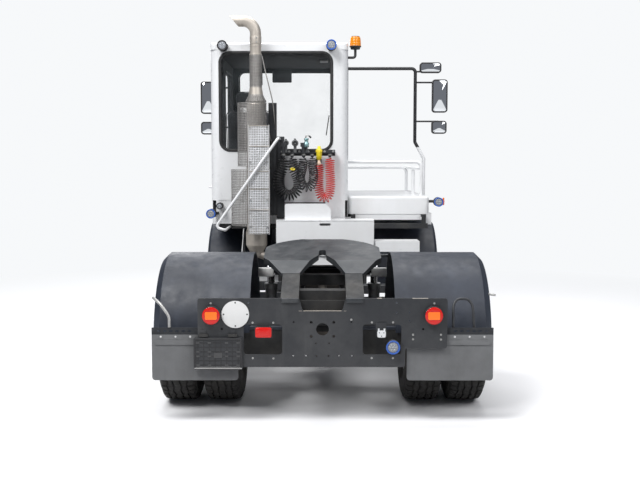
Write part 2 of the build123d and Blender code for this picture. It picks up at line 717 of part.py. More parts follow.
def arch_form(y, radius, low, x_in, x_out, bevel):
    """A half disc about a wheel's axle line, bevelled along its outboard edge."""
    with BuildPart() as form:
        with BuildSketch(side_plane(min(x_in, x_out))):
            with Locations((y, Z_AXLE)):
                Circle(radius)
            with Locations((y, low + radius)):
                Rectangle(2 * radius + 2, 2 * radius, mode=Mode.INTERSECT)
        extrude(amount=abs(x_out - x_in))
        rims = form.edges().filter_by(GeomType.CIRCLE).sort_by(Axis.X)
        chamfer(rims[-1] if x_out > x_in else rims[0], bevel)
    return form.part


# Each row: name, axle line, inner radius, lowest point, inner and outer edge, bevel, rail face, stay height
for name, y, radius, low, x_in, x_out, bevel, rail_face, z_stay in (
    (
        "rear_fender",
        Y_REAR_AXLE,
        FENDER_R,
        FENDER_LOW - 22,
        FENDER_IN,
        FENDER_OUT,
        FENDER_CHAMFER,
        RAIL_OUT,
        Z_REAR_STAY,
    ),
    (
        "front_fender",
        Y_FRONT_AXLE,
        FRONT_FENDER_R,
        FRONT_FENDER_LOW,
        FRONT_FENDER_IN,
        FRONT_FENDER_OUT,
        FRONT_CHAMFER,
        RAIL_X_FRONT + RAIL_W / 2,
        Z_FRONT_STAY,
    ),
):
    for side, word in SIDES:
        skin = arch_form(y, radius + FENDER_T, low, side * x_in, side * x_out, bevel)
        hollow = arch_form(y, radius, low - 5, side * (x_in - 5), side * (x_out - FENDER_T), bevel)
        with BuildPart() as fender:
            add(skin)
            add(hollow, mode=Mode.SUBTRACT)
            with BuildSketch(side_plane(side * x_out - 50)) as mouth:
                with Locations((y, Z_AXLE)):
                    Circle(radius - FENDER_LIP)
            extrude(mouth.sketch, amount=100, mode=Mode.SUBTRACT)
            stay_radius = radius - STAY_R + 3
            stay_y = (stay_radius**2 - (z_stay - Z_AXLE) ** 2) ** 0.5
            for end in (-1, 1):
                stay_end = x_out - FENDER_T - bevel
                cross_bar(STAY_R, (side * rail_face, side * stay_end), y + end * stay_y, z_stay)
        fender.part.label = f"{name}_{word}"
        export_step(fender.part, f"parts/{name}_{word}.step")


# Lifting boom between the rails: two arms, a deck plate, the lift pin and the fifth wheel's saddle
SADDLE_HALF = 60
SADDLE_TOP = Z_PIVOT - 80
with BuildPart() as lift_boom:
    for side, word in SIDES:
        near = side * BOOM_ARM_X
        far = side * (BOOM_ARM_X + BOOM_ARM_T)
        with BuildSketch(side_plane(min(near, far))) as arm:
            with BuildLine():
                Polyline(
                    (Y_BOOM, Z_BOOM - 60),
                    (Y_BOOM, Z_BOOM + 60),
                    (Y_ROD_PIN + 180, Z_ROD_PIN + 20),
                    (Y_ROD_PIN - 60, Z_ROD_PIN + 20),
                    (Y_KINGPIN + SADDLE_HALF, SADDLE_TOP),
                    (Y_KINGPIN - SADDLE_HALF, SADDLE_TOP),
                    (Y_KINGPIN - SADDLE_HALF, RAIL_TOP + 20),
                    (Y_KINGPIN + 90, Z_BOOM - 30),
                    close=True,
                )
            make_face()
            with Locations((Y_BOOM, Z_BOOM)):
                Circle(60)
        extrude(arm.sketch, amount=BOOM_ARM_T)
        # Ear with the pin that the fifth wheel rocks on
        with BuildSketch(side_plane(min(side * EAR_X, side * (EAR_X + EAR_T)))) as ear:
            with BuildLine():
                Polyline(
                    (Y_KINGPIN - SADDLE_HALF, SADDLE_TOP - 10),
                    (Y_KINGPIN + SADDLE_HALF, SADDLE_TOP - 10),
                    (Y_KINGPIN + EAR_R, Z_PIVOT),
                    (Y_KINGPIN - EAR_R, Z_PIVOT),
                    close=True,
                )
            make_face()
            with Locations((Y_KINGPIN, Z_PIVOT)):
                Circle(EAR_R)
        extrude(ear.sketch, amount=EAR_T)
        cross_bar(FIFTH_PIN_R, (side * EAR_X, side * (EAR_X + EAR_T + 50)), Y_KINGPIN, Z_PIVOT)
    slab(
        (-EAR_X - EAR_T, EAR_X + EAR_T),
        (Y_KINGPIN - SADDLE_HALF, Y_KINGPIN + SADDLE_HALF),
        (RAIL_TOP + 20, SADDLE_TOP),
    )
    cross_bar(60, (-BOOM_ARM_X, BOOM_ARM_X), Y_BOOM, Z_BOOM)
    boss_x = BOOM_ARM_X + BOOM_ARM_T
    cross_bar(BOOM_SHAFT_R + PIN_GAP, (-boss_x, boss_x), Y_BOOM, Z_BOOM, Mode.SUBTRACT)
    side_panel(
        [
            (Y_BOOM - 150, Z_BOOM + 60),
            (Y_BOOM - 150, Z_BOOM + 78),
            (Y_ROD_PIN + 180, Z_ROD_PIN + 20),
            (Y_ROD_PIN - 60, Z_ROD_PIN + 20),
            (Y_ROD_PIN - 60, Z_ROD_PIN + 6),
            (Y_ROD_PIN + 180, Z_ROD_PIN + 6),
        ],
        -BOOM_ARM_X - 5,
        BOOM_ARM_X + 5,
    )
    cross_bar(38, (-LIFT_X + LIFT_EYE_W / 2 + 10, LIFT_X - LIFT_EYE_W / 2 - 10), Y_ROD_PIN, Z_ROD_PIN)
    cross_bar(LIFT_PIN_R, (-LIFT_PIN_END, LIFT_PIN_END), Y_ROD_PIN, Z_ROD_PIN)
lift_boom.part.label = "lift_boom"
export_step(lift_boom.part, "parts/lift_boom.step")


# Lift cylinders: barrels on the frame's pins, rods with loose eyes round the boom's pins
LIFT_DY = Y_ROD_PIN - Y_BARREL_PIN
LIFT_DZ = Z_ROD_PIN - Z_BARREL_PIN
LIFT_L = (LIFT_DY**2 + LIFT_DZ**2) ** 0.5
ROD_FOOT = 50


def lift_plane(x, along):
    """A plane square to a lift cylinder, at a distance along it from its foot pin."""
    up = Vector(0, LIFT_DY / LIFT_L, LIFT_DZ / LIFT_L)
    return Plane(origin=Vector(x, Y_BARREL_PIN, Z_BARREL_PIN) + up * along, x_dir=(1, 0, 0), z_dir=up)


with BuildPart() as lift_barrels:
    for side, word in SIDES:
        x = side * LIFT_X
        eye = (x - LIFT_EYE_W / 2, x + LIFT_EYE_W / 2)
        cross_bar(EYE_R, eye, Y_BARREL_PIN, Z_BARREL_PIN)
        with BuildSketch(lift_plane(x, 30)) as wall:
            Circle(BARREL_R)
        extrude(wall.sketch, amount=BARREL_L - 30)
        with BuildSketch(lift_plane(x, BARREL_L - 40)) as gland:
            Circle(BARREL_R + 6)
        extrude(gland.sketch, amount=40)
        with BuildSketch(lift_plane(x, ROD_FOOT)) as bore:
            Circle(ROD_R + PIN_GAP)
        extrude(bore.sketch, amount=BARREL_L, mode=Mode.SUBTRACT)
        cross_bar(LIFT_PIN_R + PIN_GAP, eye, Y_BARREL_PIN, Z_BARREL_PIN, Mode.SUBTRACT)
lift_barrels.part.label = "lift_barrels"
export_step(lift_barrels.part, "parts/lift_barrels.step")

with BuildPart() as lift_rods:
    for side, word in SIDES:
        x = side * LIFT_X
        eye = (x - LIFT_EYE_W / 2, x + LIFT_EYE_W / 2)
        with BuildSketch(lift_plane(x, ROD_FOOT + 2)) as bar:
            Circle(ROD_R)
        extrude(bar.sketch, amount=LIFT_L - EYE_R - ROD_FOOT + 8)
        cross_bar(EYE_R + DRIFT, eye, Y_ROD_PIN, Z_ROD_PIN)
        cross_bar(LIFT_PIN_R + DRIFT, eye, Y_ROD_PIN, Z_ROD_PIN, Mode.SUBTRACT)
lift_rods.part.label = "lift_rods"
export_step(lift_rods.part, "parts/lift_rods.step")


# Fifth wheel, parked with its horns down: a deep-rimmed plate with a throat, on two hollow lugs
TILT_Y = cos(radians(FIFTH_TILT))
TILT_Z = sin(radians(FIFTH_TILT))
HORN_DROP = 52
LUG_T = 34


def fifth_plane(height):
    """A plane parallel to the fifth wheel's plate, at a height above its pivot line."""
    up = Vector(0, -TILT_Z, TILT_Y)
    return Plane(origin=Vector(0, Y_KINGPIN, Z_PIVOT) + up * height, x_dir=(1, 0, 0), z_dir=up)


def fifth_side(x):
    """A plane across the fifth wheel: its x runs along the tilted plate and its y stands on it."""
    return Plane(origin=(x, Y_KINGPIN, Z_PIVOT), x_dir=(0, TILT_Y, TILT_Z), z_dir=(1, 0, 0))


with BuildPart() as fifth_wheel:
    half = FIFTH_W / 2
    with BuildSketch(fifth_side(-half)) as section:
        with BuildLine():
            Polyline(
                (FIFTH_FRONT, PLATE_RISE - 8),
                (FIFTH_FRONT - 30, PLATE_RISE),
                (-FIFTH_REAR + 190, PLATE_RISE),
                (-FIFTH_REAR, PLATE_RISE - HORN_DROP),
                (-FIFTH_REAR, PLATE_RISE - HORN_DROP - 22),
                (-FIFTH_REAR + 170, PLATE_RISE - FIFTH_T - 8),
                (-130, PLATE_RISE - FIFTH_T),
                (FIFTH_FRONT, PLATE_RISE - FIFTH_T),
                close=True,
            )
        make_face()
    extrude(section.sketch, amount=FIFTH_W)
    with BuildSketch(fifth_plane(PLATE_RISE + 5)) as outline:
        with BuildLine():
            Line((-half, -210), (-half, 120))
            ThreePointArc((-half, 120), (0, FIFTH_FRONT), (half, 120))
            Line((half, 120), (half, -210))
            Line((half, -210), (half - 150, -FIFTH_REAR))
            Line((half - 150, -FIFTH_REAR), (THROAT_W / 2, -FIFTH_REAR))
            Line((THROAT_W / 2, -FIFTH_REAR), (JAW_R + 4, -130))
            Line((JAW_R + 4, -130), (JAW_R, 0))
            ThreePointArc((JAW_R, 0), (0, JAW_R), (-JAW_R, 0))
            Line((-JAW_R, 0), (-JAW_R - 4, -130))
            Line((-JAW_R - 4, -130), (-THROAT_W / 2, -FIFTH_REAR))
            Line((-THROAT_W / 2, -FIFTH_REAR), (-half + 150, -FIFTH_REAR))
            Line((-half + 150, -FIFTH_REAR), (-half, -210))
        make_face()
    extrude(outline.sketch, amount=-PLATE_RISE - 40, mode=Mode.INTERSECT)
    for side, word in SIDES:
        inner = side * (EAR_X + EAR_T + MOVE_GAP)
        with BuildSketch(fifth_side(min(inner, inner + side * LUG_T))) as lug:
            with BuildLine():
                ear_top = PLATE_RISE - FIFTH_T + 4
                Polyline((-95, ear_top), (95, ear_top), (42, 0), (-42, 0), close=True)
            make_face()
            Circle(42)
            Circle(FIFTH_PIN_R + PIN_GAP, mode=Mode.SUBTRACT)
        extrude(lug.sketch, amount=LUG_T)
        # Lock handle's housing and a rib along the plate
        with BuildSketch(fifth_plane(PLATE_RISE - FIFTH_T + 4)) as rib:
            with Locations((side * 210, 150)):
                Rectangle(26, 300)
        extrude(rib.sketch, amount=-24)
    with BuildSketch(fifth_plane(PLATE_RISE - FIFTH_T - 14)) as handle:
        with Locations((half - 40, 30)):
            SlotOverall(220, 26)
    extrude(handle.sketch, amount=20)
fifth_wheel.part.label = "fifth_wheel"
export_step(fifth_wheel.part, "parts/fifth_wheel.step")


# Drive line: the engine block, the gearbox behind it and the shaft to the rear axle
ENGINE_X = 290
ENGINE_Y = (960, 2050)
ENGINE_Z = (600, 1170)
GEARBOX_Y = 520
SHAFT_R = 42
RADIATOR_Y = (Y_BEAM_FRONT - 95, Y_BEAM_FRONT - 32)
with BuildPart() as drive_line:
    with BuildSketch(back_plane(ENGINE_Y[1])) as front_face:
        with BuildLine():
            Polyline(
                (-ENGINE_X, ENGINE_Z[0] + 90),
                (-ENGINE_X, ENGINE_Z[1] - 40),
                (-ENGINE_X + 90, ENGINE_Z[1]),
                (ENGINE_X - 90, ENGINE_Z[1]),
                (ENGINE_X, ENGINE_Z[1] - 40),
                (ENGINE_X, ENGINE_Z[0] + 90),
                (ENGINE_X - 120, ENGINE_Z[0]),
                (-ENGINE_X + 120, ENGINE_Z[0]),
                close=True,
            )
        make_face()
    extrude(amount=ENGINE_Y[1] - ENGINE_Y[0])
    with Locations(Plane(origin=(0, ENGINE_Y[0] + 5, 760), x_dir=(1, 0, 0), z_dir=(0, -1, 0))):
        Cone(215, 130, ENGINE_Y[0] + 5 - GEARBOX_Y, align=(Align.CENTER, Align.CENTER, Align.MIN))
    with BuildLine() as shaft_run:
        Line((0, GEARBOX_Y + 20, 740), (0, Y_REAR_AXLE + DIFF_R + 126, Z_AXLE + 3))
    with BuildSketch(Plane(origin=shaft_run.line @ 0, z_dir=shaft_run.line % 0)):
        Circle(SHAFT_R)
    sweep(path=shaft_run.line)
    # Radiator between the rails, behind the grille
    half = RAIL_X_FRONT - RAIL_W / 2
    slab((-half, half), RADIATOR_Y, (RAIL_BOTTOM + 20, Z_BEAM - BEAM_H - 10))
    for side, word in SIDES:
        # Engine mounts on the rails
        slab(
            sorted((side * (ENGINE_X - 10), side * (RAIL_X_FRONT + RAIL_W / 2 - RAIL_T))),
            (ENGINE_Y[0] + 300, ENGINE_Y[0] + 400),
            (RAIL_BOTTOM + 60, RAIL_BOTTOM + 130),
        )
drive_line.part.label = "drive_line"
export_step(drive_line.part, "parts/drive_line.step")


# Cab shell: floor tray, back wall with rounded corners, right and left walls, door, front and roof
FRONT_LINE = ((Y_CAB_FRONT, Z_CAB_FLOOR), (Y_CAB_FRONT, 1800), (Y_CAB_FRONT - SCREEN_LEAN, Z_ROOF))
CORNER_RETURN = 120
GAP = 1
SIDE_WINDOW_Z = (1880, Z_ROOF - 95)


def front_at(z):
    """How far forward the cab's raked front face lies at a height."""
    low, high = FRONT_LINE[1], FRONT_LINE[2]
    share = max(0, (z - low[1]) / (high[1] - low[1]))
    return low[0] + share * (high[0] - low[0])


def cut_window(plane, x_range, z_range, radius, depth):
    """Cut a round-cornered opening through a wall that the plane lies on."""
    with BuildSketch(plane) as opening:
        with Locations((sum(x_range) / 2, sum(z_range) / 2)):
            RectangleRounded(x_range[1] - x_range[0], z_range[1] - z_range[0], radius)
    extrude(opening.sketch, amount=depth, both=True, mode=Mode.SUBTRACT)


def pane(plane, x_range, z_range, radius):
    """A window pane that stands a little clear of its opening's edge all round."""
    with BuildSketch(plane) as glass:
        with Locations((sum(x_range) / 2, sum(z_range) / 2)):
            width = x_range[1] - x_range[0] - 2 * GLASS_GAP
            height = z_range[1] - z_range[0] - 2 * GLASS_GAP
            RectangleRounded(width, height, radius - GLASS_GAP)
    extrude(glass.sketch, amount=GLASS_T)


with BuildPart() as cab_floor:
    clear = WALL_T + GAP
    slab((CAB_X0 + clear, CAB_X1 - clear), (Y_CAB_BACK + clear, Y_CAB_FRONT - clear), (Z_BEAM, Z_CAB_FLOOR))
    # Tunnel over the engine on the driver's right
    slab((-60, CAB_X1 - clear), (Y_CAB_BACK + 330, Y_CAB_FRONT - clear), (Z_CAB_FLOOR, Z_CAB_FLOOR + 170))
cab_floor.part.label = "cab_floor"
export_step(cab_floor.part, "parts/cab_floor.step")

with BuildPart() as cab_back:
    with BuildSketch(Plane.XY.offset(Z_CAB_SKIRT)) as ring:
        with Locations((CAB_MID, Y_CAB_BACK + CAB_LENGTH / 2)):
            RectangleRounded(CAB_W, CAB_LENGTH, CAB_CORNER_R)
            inner = (CAB_W - 2 * WALL_T, CAB_LENGTH - 2 * WALL_T)
            RectangleRounded(*inner, CAB_CORNER_R - WALL_T, mode=Mode.SUBTRACT)
        with Locations((CAB_MID, Y_CAB_BACK + CORNER_RETURN / 2)):
            Rectangle(CAB_W + 20, CORNER_RETURN, mode=Mode.INTERSECT)
    extrude(amount=Z_ROOF - Z_CAB_SKIRT)
    # Skirt down to the beam, set in from both corners
    slab((CAB_X0 + WALL_T, CAB_X1 - 30), (Y_CAB_BACK + 4, Y_CAB_BACK + WALL_T), (Z_BEAM, Z_CAB_SKIRT + 5))
    cut_window(back_plane(Y_CAB_BACK), REAR_WINDOW[:2], REAR_WINDOW[2:], REAR_WINDOW_R, WALL_T + 10)
cab_back.part.label = "cab_back"
export_step(cab_back.part, "parts/cab_back.step")

RIGHT_WINDOW_Y = (Y_CAB_BACK + 330, Y_CAB_FRONT - SCREEN_LEAN - 160)
QUARTER_Y = (DOOR_Y1 + 110, Y_CAB_FRONT - SCREEN_LEAN - 160)


def cab_side(y_rear, x0, x1, z_low=Z_CAB_FLOOR):
    """A side wall from a place along the cab to the raked front face."""
    reach = WALL_T + GAP
    side_panel(
        [
            (y_rear, z_low),
            (FRONT_LINE[0][0] - reach, z_low),
            (FRONT_LINE[1][0] - reach, FRONT_LINE[1][1]),
            (FRONT_LINE[2][0] - reach, Z_ROOF),
            (y_rear, Z_ROOF),
        ],
        x0,
        x1,
    )


with BuildPart() as cab_right:
    cab_side(Y_CAB_BACK + CORNER_RETURN, CAB_X1 - WALL_T, CAB_X1)
    cut_window(side_plane(CAB_X1), RIGHT_WINDOW_Y, SIDE_WINDOW_Z, 90, WALL_T + 10)
cab_right.part.label = "cab_right"
export_step(cab_right.part, "parts/cab_right.step")

with BuildPart() as cab_left:
    cab_side(DOOR_Y1 + 2 * MOVE_GAP, CAB_X0, CAB_X0 + WALL_T)
    cut_window(side_plane(CAB_X0), QUARTER_Y, SIDE_WINDOW_Z, 90, WALL_T + 10)
    # Sill under the door, and the lower hinge halves with their pins
    wall_x = (CAB_X0, CAB_X0 + WALL_T)
    sill_z = Z_CAB_FLOOR - 60
    slab(wall_x, (Y_CAB_BACK + CORNER_RETURN, DOOR_Y1 + 2 * MOVE_GAP), (sill_z, Z_CAB_FLOOR - MOVE_GAP))
    slab((CAB_X0, CAB_X0 + WALL_T), (DOOR_Y1, DOOR_Y1 + 60), (Z_CAB_FLOOR - 60, Z_CAB_FLOOR + 20))
    slab(wall_x, (Y_CAB_BACK + CORNER_RETURN, DOOR_Y0 - MOVE_GAP), (sill_z, Z_ROOF))
    for z in (1560, 2640):
        with Locations((CAB_X0 - 14, DOOR_Y1 + MOVE_GAP, z)):
            Cylinder(14, 60)
        with Locations((CAB_X0 - 14, DOOR_Y1 + MOVE_GAP, z + 45)):
            Cylinder(DOOR_HINGE_R, 90)
        slab((CAB_X0 - 14, CAB_X0 + 10), (DOOR_Y1 + MOVE_GAP + 4, DOOR_Y1 + 50), (z - 30, z + 30))
cab_left.part.label = "cab_left"
export_step(cab_left.part, "parts/cab_left.step")

DOOR_Z = (Z_CAB_FLOOR, Z_ROOF - MOVE_GAP)
DOOR_WINDOW_Y = (DOOR_Y0 + 90, DOOR_Y1 - 90)
DOOR_WINDOW_Z = (1700, Z_ROOF - 95)
with BuildPart() as cab_door:
    with BuildSketch(side_plane(CAB_X0)):
        with Locations(((DOOR_Y0 + DOOR_Y1) / 2, sum(DOOR_Z) / 2)):
            RectangleRounded(DOOR_Y1 - DOOR_Y0, DOOR_Z[1] - DOOR_Z[0], 30)
    extrude(amount=WALL_T)
    cut_window(side_plane(CAB_X0), DOOR_WINDOW_Y, DOOR_WINDOW_Z, 80, WALL_T + 10)
    for z in (1560, 2640):
        with Locations((CAB_X0 - 14, DOOR_Y1 + MOVE_GAP, z + 60)):
            Cylinder(14, 58)
        slab((CAB_X0 - 14, CAB_X0 + 10), (DOOR_Y1 - 50, DOOR_Y1 + MOVE_GAP - 4), (z + 31, z + 89))
        with Locations((CAB_X0 - 14, DOOR_Y1 + MOVE_GAP, z + 60)):
            Cylinder(DOOR_HINGE_R + PIN_GAP, 70, mode=Mode.SUBTRACT)
    # Handle
    with BuildLine() as grip:
        FilletPolyline(
            (CAB_X0 + 5, DOOR_Y0 + 60, 1600),
            (CAB_X0 - 40, DOOR_Y0 + 60, 1600),
            (CAB_X0 - 40, DOOR_Y0 + 200, 1600),
            (CAB_X0 + 5, DOOR_Y0 + 200, 1600),
            radius=16,
        )
    with BuildSketch(Plane(origin=grip.line @ 0, z_dir=grip.line % 0)):
        Circle(9)
    sweep(path=grip.line)
cab_door.part.label = "cab_door"
export_step(cab_door.part, "parts/cab_door.step")

with BuildPart() as door_glass:
    pane(side_plane(CAB_X0 + WALL_T / 2), DOOR_WINDOW_Y, DOOR_WINDOW_Z, 80)
door_glass.part.label = "door_glass"
export_step(door_glass.part, "parts/door_glass.step")

SCREEN_X = (CAB_X0 + 110, CAB_X1 - 110)
SCREEN_FOOT = 90
SCREEN_H = 1056
SCREEN_UP = Vector(0, -SCREEN_LEAN, Z_ROOF - FRONT_LINE[1][1]).normalized()
screen_plane = Plane(
    origin=(0, Y_CAB_FRONT, FRONT_LINE[1][1]),
    x_dir=(1, 0, 0),
    z_dir=Vector(1, 0, 0).cross(SCREEN_UP),
)
with BuildPart() as cab_front:
    side_panel(
        [
            FRONT_LINE[0],
            FRONT_LINE[1],
            FRONT_LINE[2],
            (FRONT_LINE[2][0] - WALL_T, Z_ROOF),
            (FRONT_LINE[1][0] - WALL_T, FRONT_LINE[1][1]),
            (FRONT_LINE[0][0] - WALL_T, Z_CAB_FLOOR),
        ],
        CAB_X0,
        CAB_X1,
    )
    corners = cab_front.edges().filter_by(lambda e: abs(e.center().X - CAB_MID) > CAB_W / 2 - 1)
    outer = corners.filter_by(lambda e: e.length > 300).sort_by(lambda e: e.center().Y)
    outer = [e for e in outer if abs(e.center().Y - front_at(e.center().Z)) < 1]
    fillet(outer, WALL_T - 8)
    cut_window(screen_plane, SCREEN_X, (SCREEN_FOOT, SCREEN_FOOT + SCREEN_H), 90, WALL_T + 20)
cab_front.part.label = "cab_front"
export_step(cab_front.part, "parts/cab_front.step")

with BuildPart() as cab_roof:
    with BuildSketch(side_plane(CAB_X0)):
        with BuildLine():
            Polyline(
                (Y_CAB_BACK, Z_ROOF),
                (Y_CAB_BACK, Z_CAB_TOP - 20),
                (Y_CAB_BACK + 60, Z_CAB_TOP),
                (front_at(Z_ROOF) - 100, Z_CAB_TOP),
                (front_at(Z_ROOF) + 60, Z_ROOF + 30),
                (front_at(Z_ROOF) + 60, Z_ROOF),
                close=True,
            )
        make_face()
    extrude(amount=CAB_W)
    chamfer(cab_roof.edges().filter_by(Axis.Y).group_by(Axis.Z)[-1], 20)
    fillet(cab_roof.edges().filter_by(Axis.Z).sort_by(Axis.Y)[:2], CAB_CORNER_R - 30)
cab_roof.part.label = "cab_roof"
export_step(cab_roof.part, "parts/cab_roof.step")

with BuildPart() as cab_glass:
    pane(back_plane(Y_CAB_BACK + WALL_T / 2), REAR_WINDOW[:2], REAR_WINDOW[2:], REAR_WINDOW_R)
    pane(side_plane(CAB_X1 - WALL_T / 2), RIGHT_WINDOW_Y, SIDE_WINDOW_Z, 90)
    pane(side_plane(CAB_X0 + WALL_T / 2), QUARTER_Y, SIDE_WINDOW_Z, 90)
    pane(screen_plane.offset(WALL_T / 2), SCREEN_X, (SCREEN_FOOT, SCREEN_FOOT + SCREEN_H), 90)
cab_glass.part.label = "cab_glass"
export_step(cab_glass.part, "parts/cab_glass.step")


# Inside the cab: seat on its post, dashboard with the steering column, and the steering wheel
SEAT_X = -775
SEAT_Y = Y_CAB_FRONT - 1340
SEAT_Z = 1790
with BuildPart() as seat_base:
    with BuildSketch(Plane.XY.offset(Z_CAB_FLOOR)):
        with Locations((SEAT_X, SEAT_Y)):
            RectangleRounded(340, 380, 50)
    extrude(amount=SEAT_Z - 130 - Z_CAB_FLOOR, taper=7)
    with BuildSketch(Plane.XY.offset(SEAT_Z - 135)):
        with Locations((SEAT_X, SEAT_Y)):
            RectangleRounded(430, 440, 40)
    extrude(amount=25)
seat_base.part.label = "seat_base"
export_step(seat_base.part, "parts/seat_base.step")

with BuildPart() as seat_cushions:
    with BuildSketch(Plane.XY.offset(SEAT_Z - 110 + PIN_GAP)):
        with Locations((SEAT_X, SEAT_Y + 20)):
            RectangleRounded(500, 500, 70)
    extrude(amount=110)
    back_up = Vector(0, -0.2, 1).normalized()
    back_foot = Plane(origin=(SEAT_X, SEAT_Y - 235, SEAT_Z + 3), x_dir=(1, 0, 0), z_dir=back_up)
    with BuildSketch(back_foot):
        RectangleRounded(470, 110, 50)
    extrude(amount=620, taper=2)
    with BuildSketch(back_foot.offset(640)):
        RectangleRounded(270, 90, 40)
    extrude(amount=170)
    # Two posts carry the headrest
    with BuildSketch(back_foot.offset(610)):
        with GridLocations(130, 1, 2, 1):
            Circle(8)
    extrude(amount=40)
    with BuildSketch(back_foot.offset(-20)):
        with GridLocations(300, 1, 2, 1):
            Rectangle(40, 30)
    extrude(amount=30)
seat_cushions.part.label = "seat_cushions"
export_step(seat_cushions.part, "parts/seat_cushions.step")

WHEEL_TILT = 30
STEER_Y = Y_CAB_FRONT - 690
STEER_Z = 2010
STEER_R = 215
STEER_UP = Vector(0, -sin(radians(WHEEL_TILT)), cos(radians(WHEEL_TILT)))
steer_plane = Plane(origin=(SEAT_X, STEER_Y, STEER_Z), x_dir=(1, 0, 0), z_dir=STEER_UP)
with BuildPart() as dashboard:
    side_panel(
        [
            (Y_CAB_FRONT - WALL_T - 2, Z_CAB_FLOOR),
            (Y_CAB_FRONT - WALL_T - 2, 1790),
            (Y_CAB_FRONT - WALL_T - 60, 1850),
            (Y_CAB_FRONT - 500, 1800),
            (Y_CAB_FRONT - 520, 1700),
            (Y_CAB_FRONT - 240, 1560),
            (Y_CAB_FRONT - 240, Z_CAB_FLOOR),
        ],
        CAB_X0 + WALL_T + 4,
        -66,
    )
    with BuildSketch(steer_plane.offset(-60)):
        Circle(34)
    extrude(amount=-420)
    with BuildSketch(steer_plane.offset(-70)):
        Circle(11)
    extrude(amount=66)
dashboard.part.label = "dashboard"
export_step(dashboard.part, "parts/dashboard.step")

with BuildPart() as steering_wheel:
    upright = Vector(1, 0, 0).cross(STEER_UP)
    with BuildSketch(Plane(origin=steer_plane.origin, x_dir=(1, 0, 0), z_dir=upright)):
        with Locations((STEER_R, 0)):
            Circle(15)
    revolve(axis=Axis(steer_plane.origin, STEER_UP))
    with BuildSketch(steer_plane.offset(-26)):
        Circle(46)
    extrude(amount=40)
    with BuildSketch(steer_plane.offset(-10)):
        with PolarLocations(STEER_R / 2 + 16, 3, start_angle=-90):
            Rectangle(STEER_R - 36, 34)
    extrude(amount=12)
    with BuildSketch(steer_plane.offset(-40)):
        Circle(11 + PIN_GAP)
    extrude(amount=38, mode=Mode.SUBTRACT)
steering_wheel.part.label = "steering_wheel"
export_step(steering_wheel.part, "parts/steering_wheel.step")


# Engine hood: a shallow cover, open below, on the ledge of the cab subframe
HOOD_T = 16
with BuildPart() as engine_hood:
    slab((HOOD_X0, HOOD_X1), (HOOD_REAR, HOOD_FRONT), (HOOD_BOTTOM, HOOD_TOP))
    fillet(engine_hood.edges().filter_by(Axis.Z), 40)
    fillet(engine_hood.faces().sort_by(Axis.Z)[-1].edges(), 22)
    slab(
        (HOOD_X0 + HOOD_T, HOOD_X1 - HOOD_T),
        (HOOD_REAR + HOOD_T, HOOD_FRONT - HOOD_T),
        (HOOD_BOTTOM - 1, HOOD_TOP - HOOD_T),
        Mode.SUBTRACT,
    )
    for y in (HOOD_REAR + 2, HOOD_FRONT - 62):
        slab((HOOD_X0 + 20, HOOD_X1 - 20), (y, y + 60), (HOOD_BOTTOM, HOOD_BOTTOM + 6))
    # Ledge under the rear edge, and the bracket at its right end
    ledge_y = (HOOD_REAR + 6, HOOD_REAR + 60)
    slab((HOOD_X0 + 73, HOOD_X1 - 84), ledge_y, (HOOD_BOTTOM - 59, HOOD_BOTTOM + 5))
    slab((HOOD_X1 - 36, HOOD_X1 + 26), (HOOD_REAR + 10, HOOD_REAR + 120), (HOOD_BOTTOM - 106, HOOD_BOTTOM + 10))
engine_hood.part.label = "engine_hood"
export_step(engine_hood.part, "parts/engine_hood.step")

# Guard rail round the hood, from the cab's wall to a bent outer post
RAIL_TUBE = 17
Z_GUARD = 1860
GUARD_X = 1010
GUARD_REAR = HOOD_REAR + 90
GUARD_FRONT = HOOD_FRONT - 200
with BuildPart() as hood_rail:
    for y, height in ((GUARD_REAR, Z_GUARD), (GUARD_FRONT, Z_GUARD - 70)):
        pipe([(CAB_X1, y, height), (GUARD_X, y, height), (GUARD_X, y, HOOD_TOP)], 60, RAIL_TUBE)
    pipe([(GUARD_X, GUARD_REAR + 2, Z_GUARD - 70), (GUARD_X, GUARD_FRONT, Z_GUARD - 70)], 60, RAIL_TUBE)
    middle = (GUARD_REAR + GUARD_FRONT) / 2
    pipe([(GUARD_X, middle, Z_GUARD - 70), (GUARD_X, middle, HOOD_TOP)], 60, RAIL_TUBE)
hood_rail.part.label = "hood_rail"
export_step(hood_rail.part, "parts/hood_rail.step")

# Mirror frame: a black hoop over the hood, with the bent white post that carries it
MIRROR_Y = 1970
MIRROR_X = 1080
MIRROR_TOP = 2940
POST_X = 1185
LEFT_MIRROR_Y = Y_CAB_FRONT - 240
# Each row: height of an arm, where it meets its mirror's own stub, and where that stub ends
MIRROR_ARMS = ((2780, 1250, 1360), (2330, 1250, 1355), (2905, 1110, 1250))
with BuildPart() as mirror_frame:
    pipe(
        [
            (CAB_X1, MIRROR_Y, MIRROR_TOP),
            (MIRROR_X, MIRROR_Y, MIRROR_TOP),
            (MIRROR_X, MIRROR_Y, 2090),
            (POST_X, MIRROR_Y, 1900),
            (POST_X, MIRROR_Y, 1440),
            (HOOD_X1, MIRROR_Y, 1440),
        ],
        45,
        19,
    )
    for z, join, end in MIRROR_ARMS:
        pipe([(MIRROR_X, MIRROR_Y, z), (join, MIRROR_Y, z)], 20, 10)
    slab((HOOD_X1, HOOD_X1 + 8), (MIRROR_Y - 50, MIRROR_Y + 50), (1395, 1485))
mirror_frame.part.label = "mirror_frame"
export_step(mirror_frame.part, "parts/mirror_frame.step")

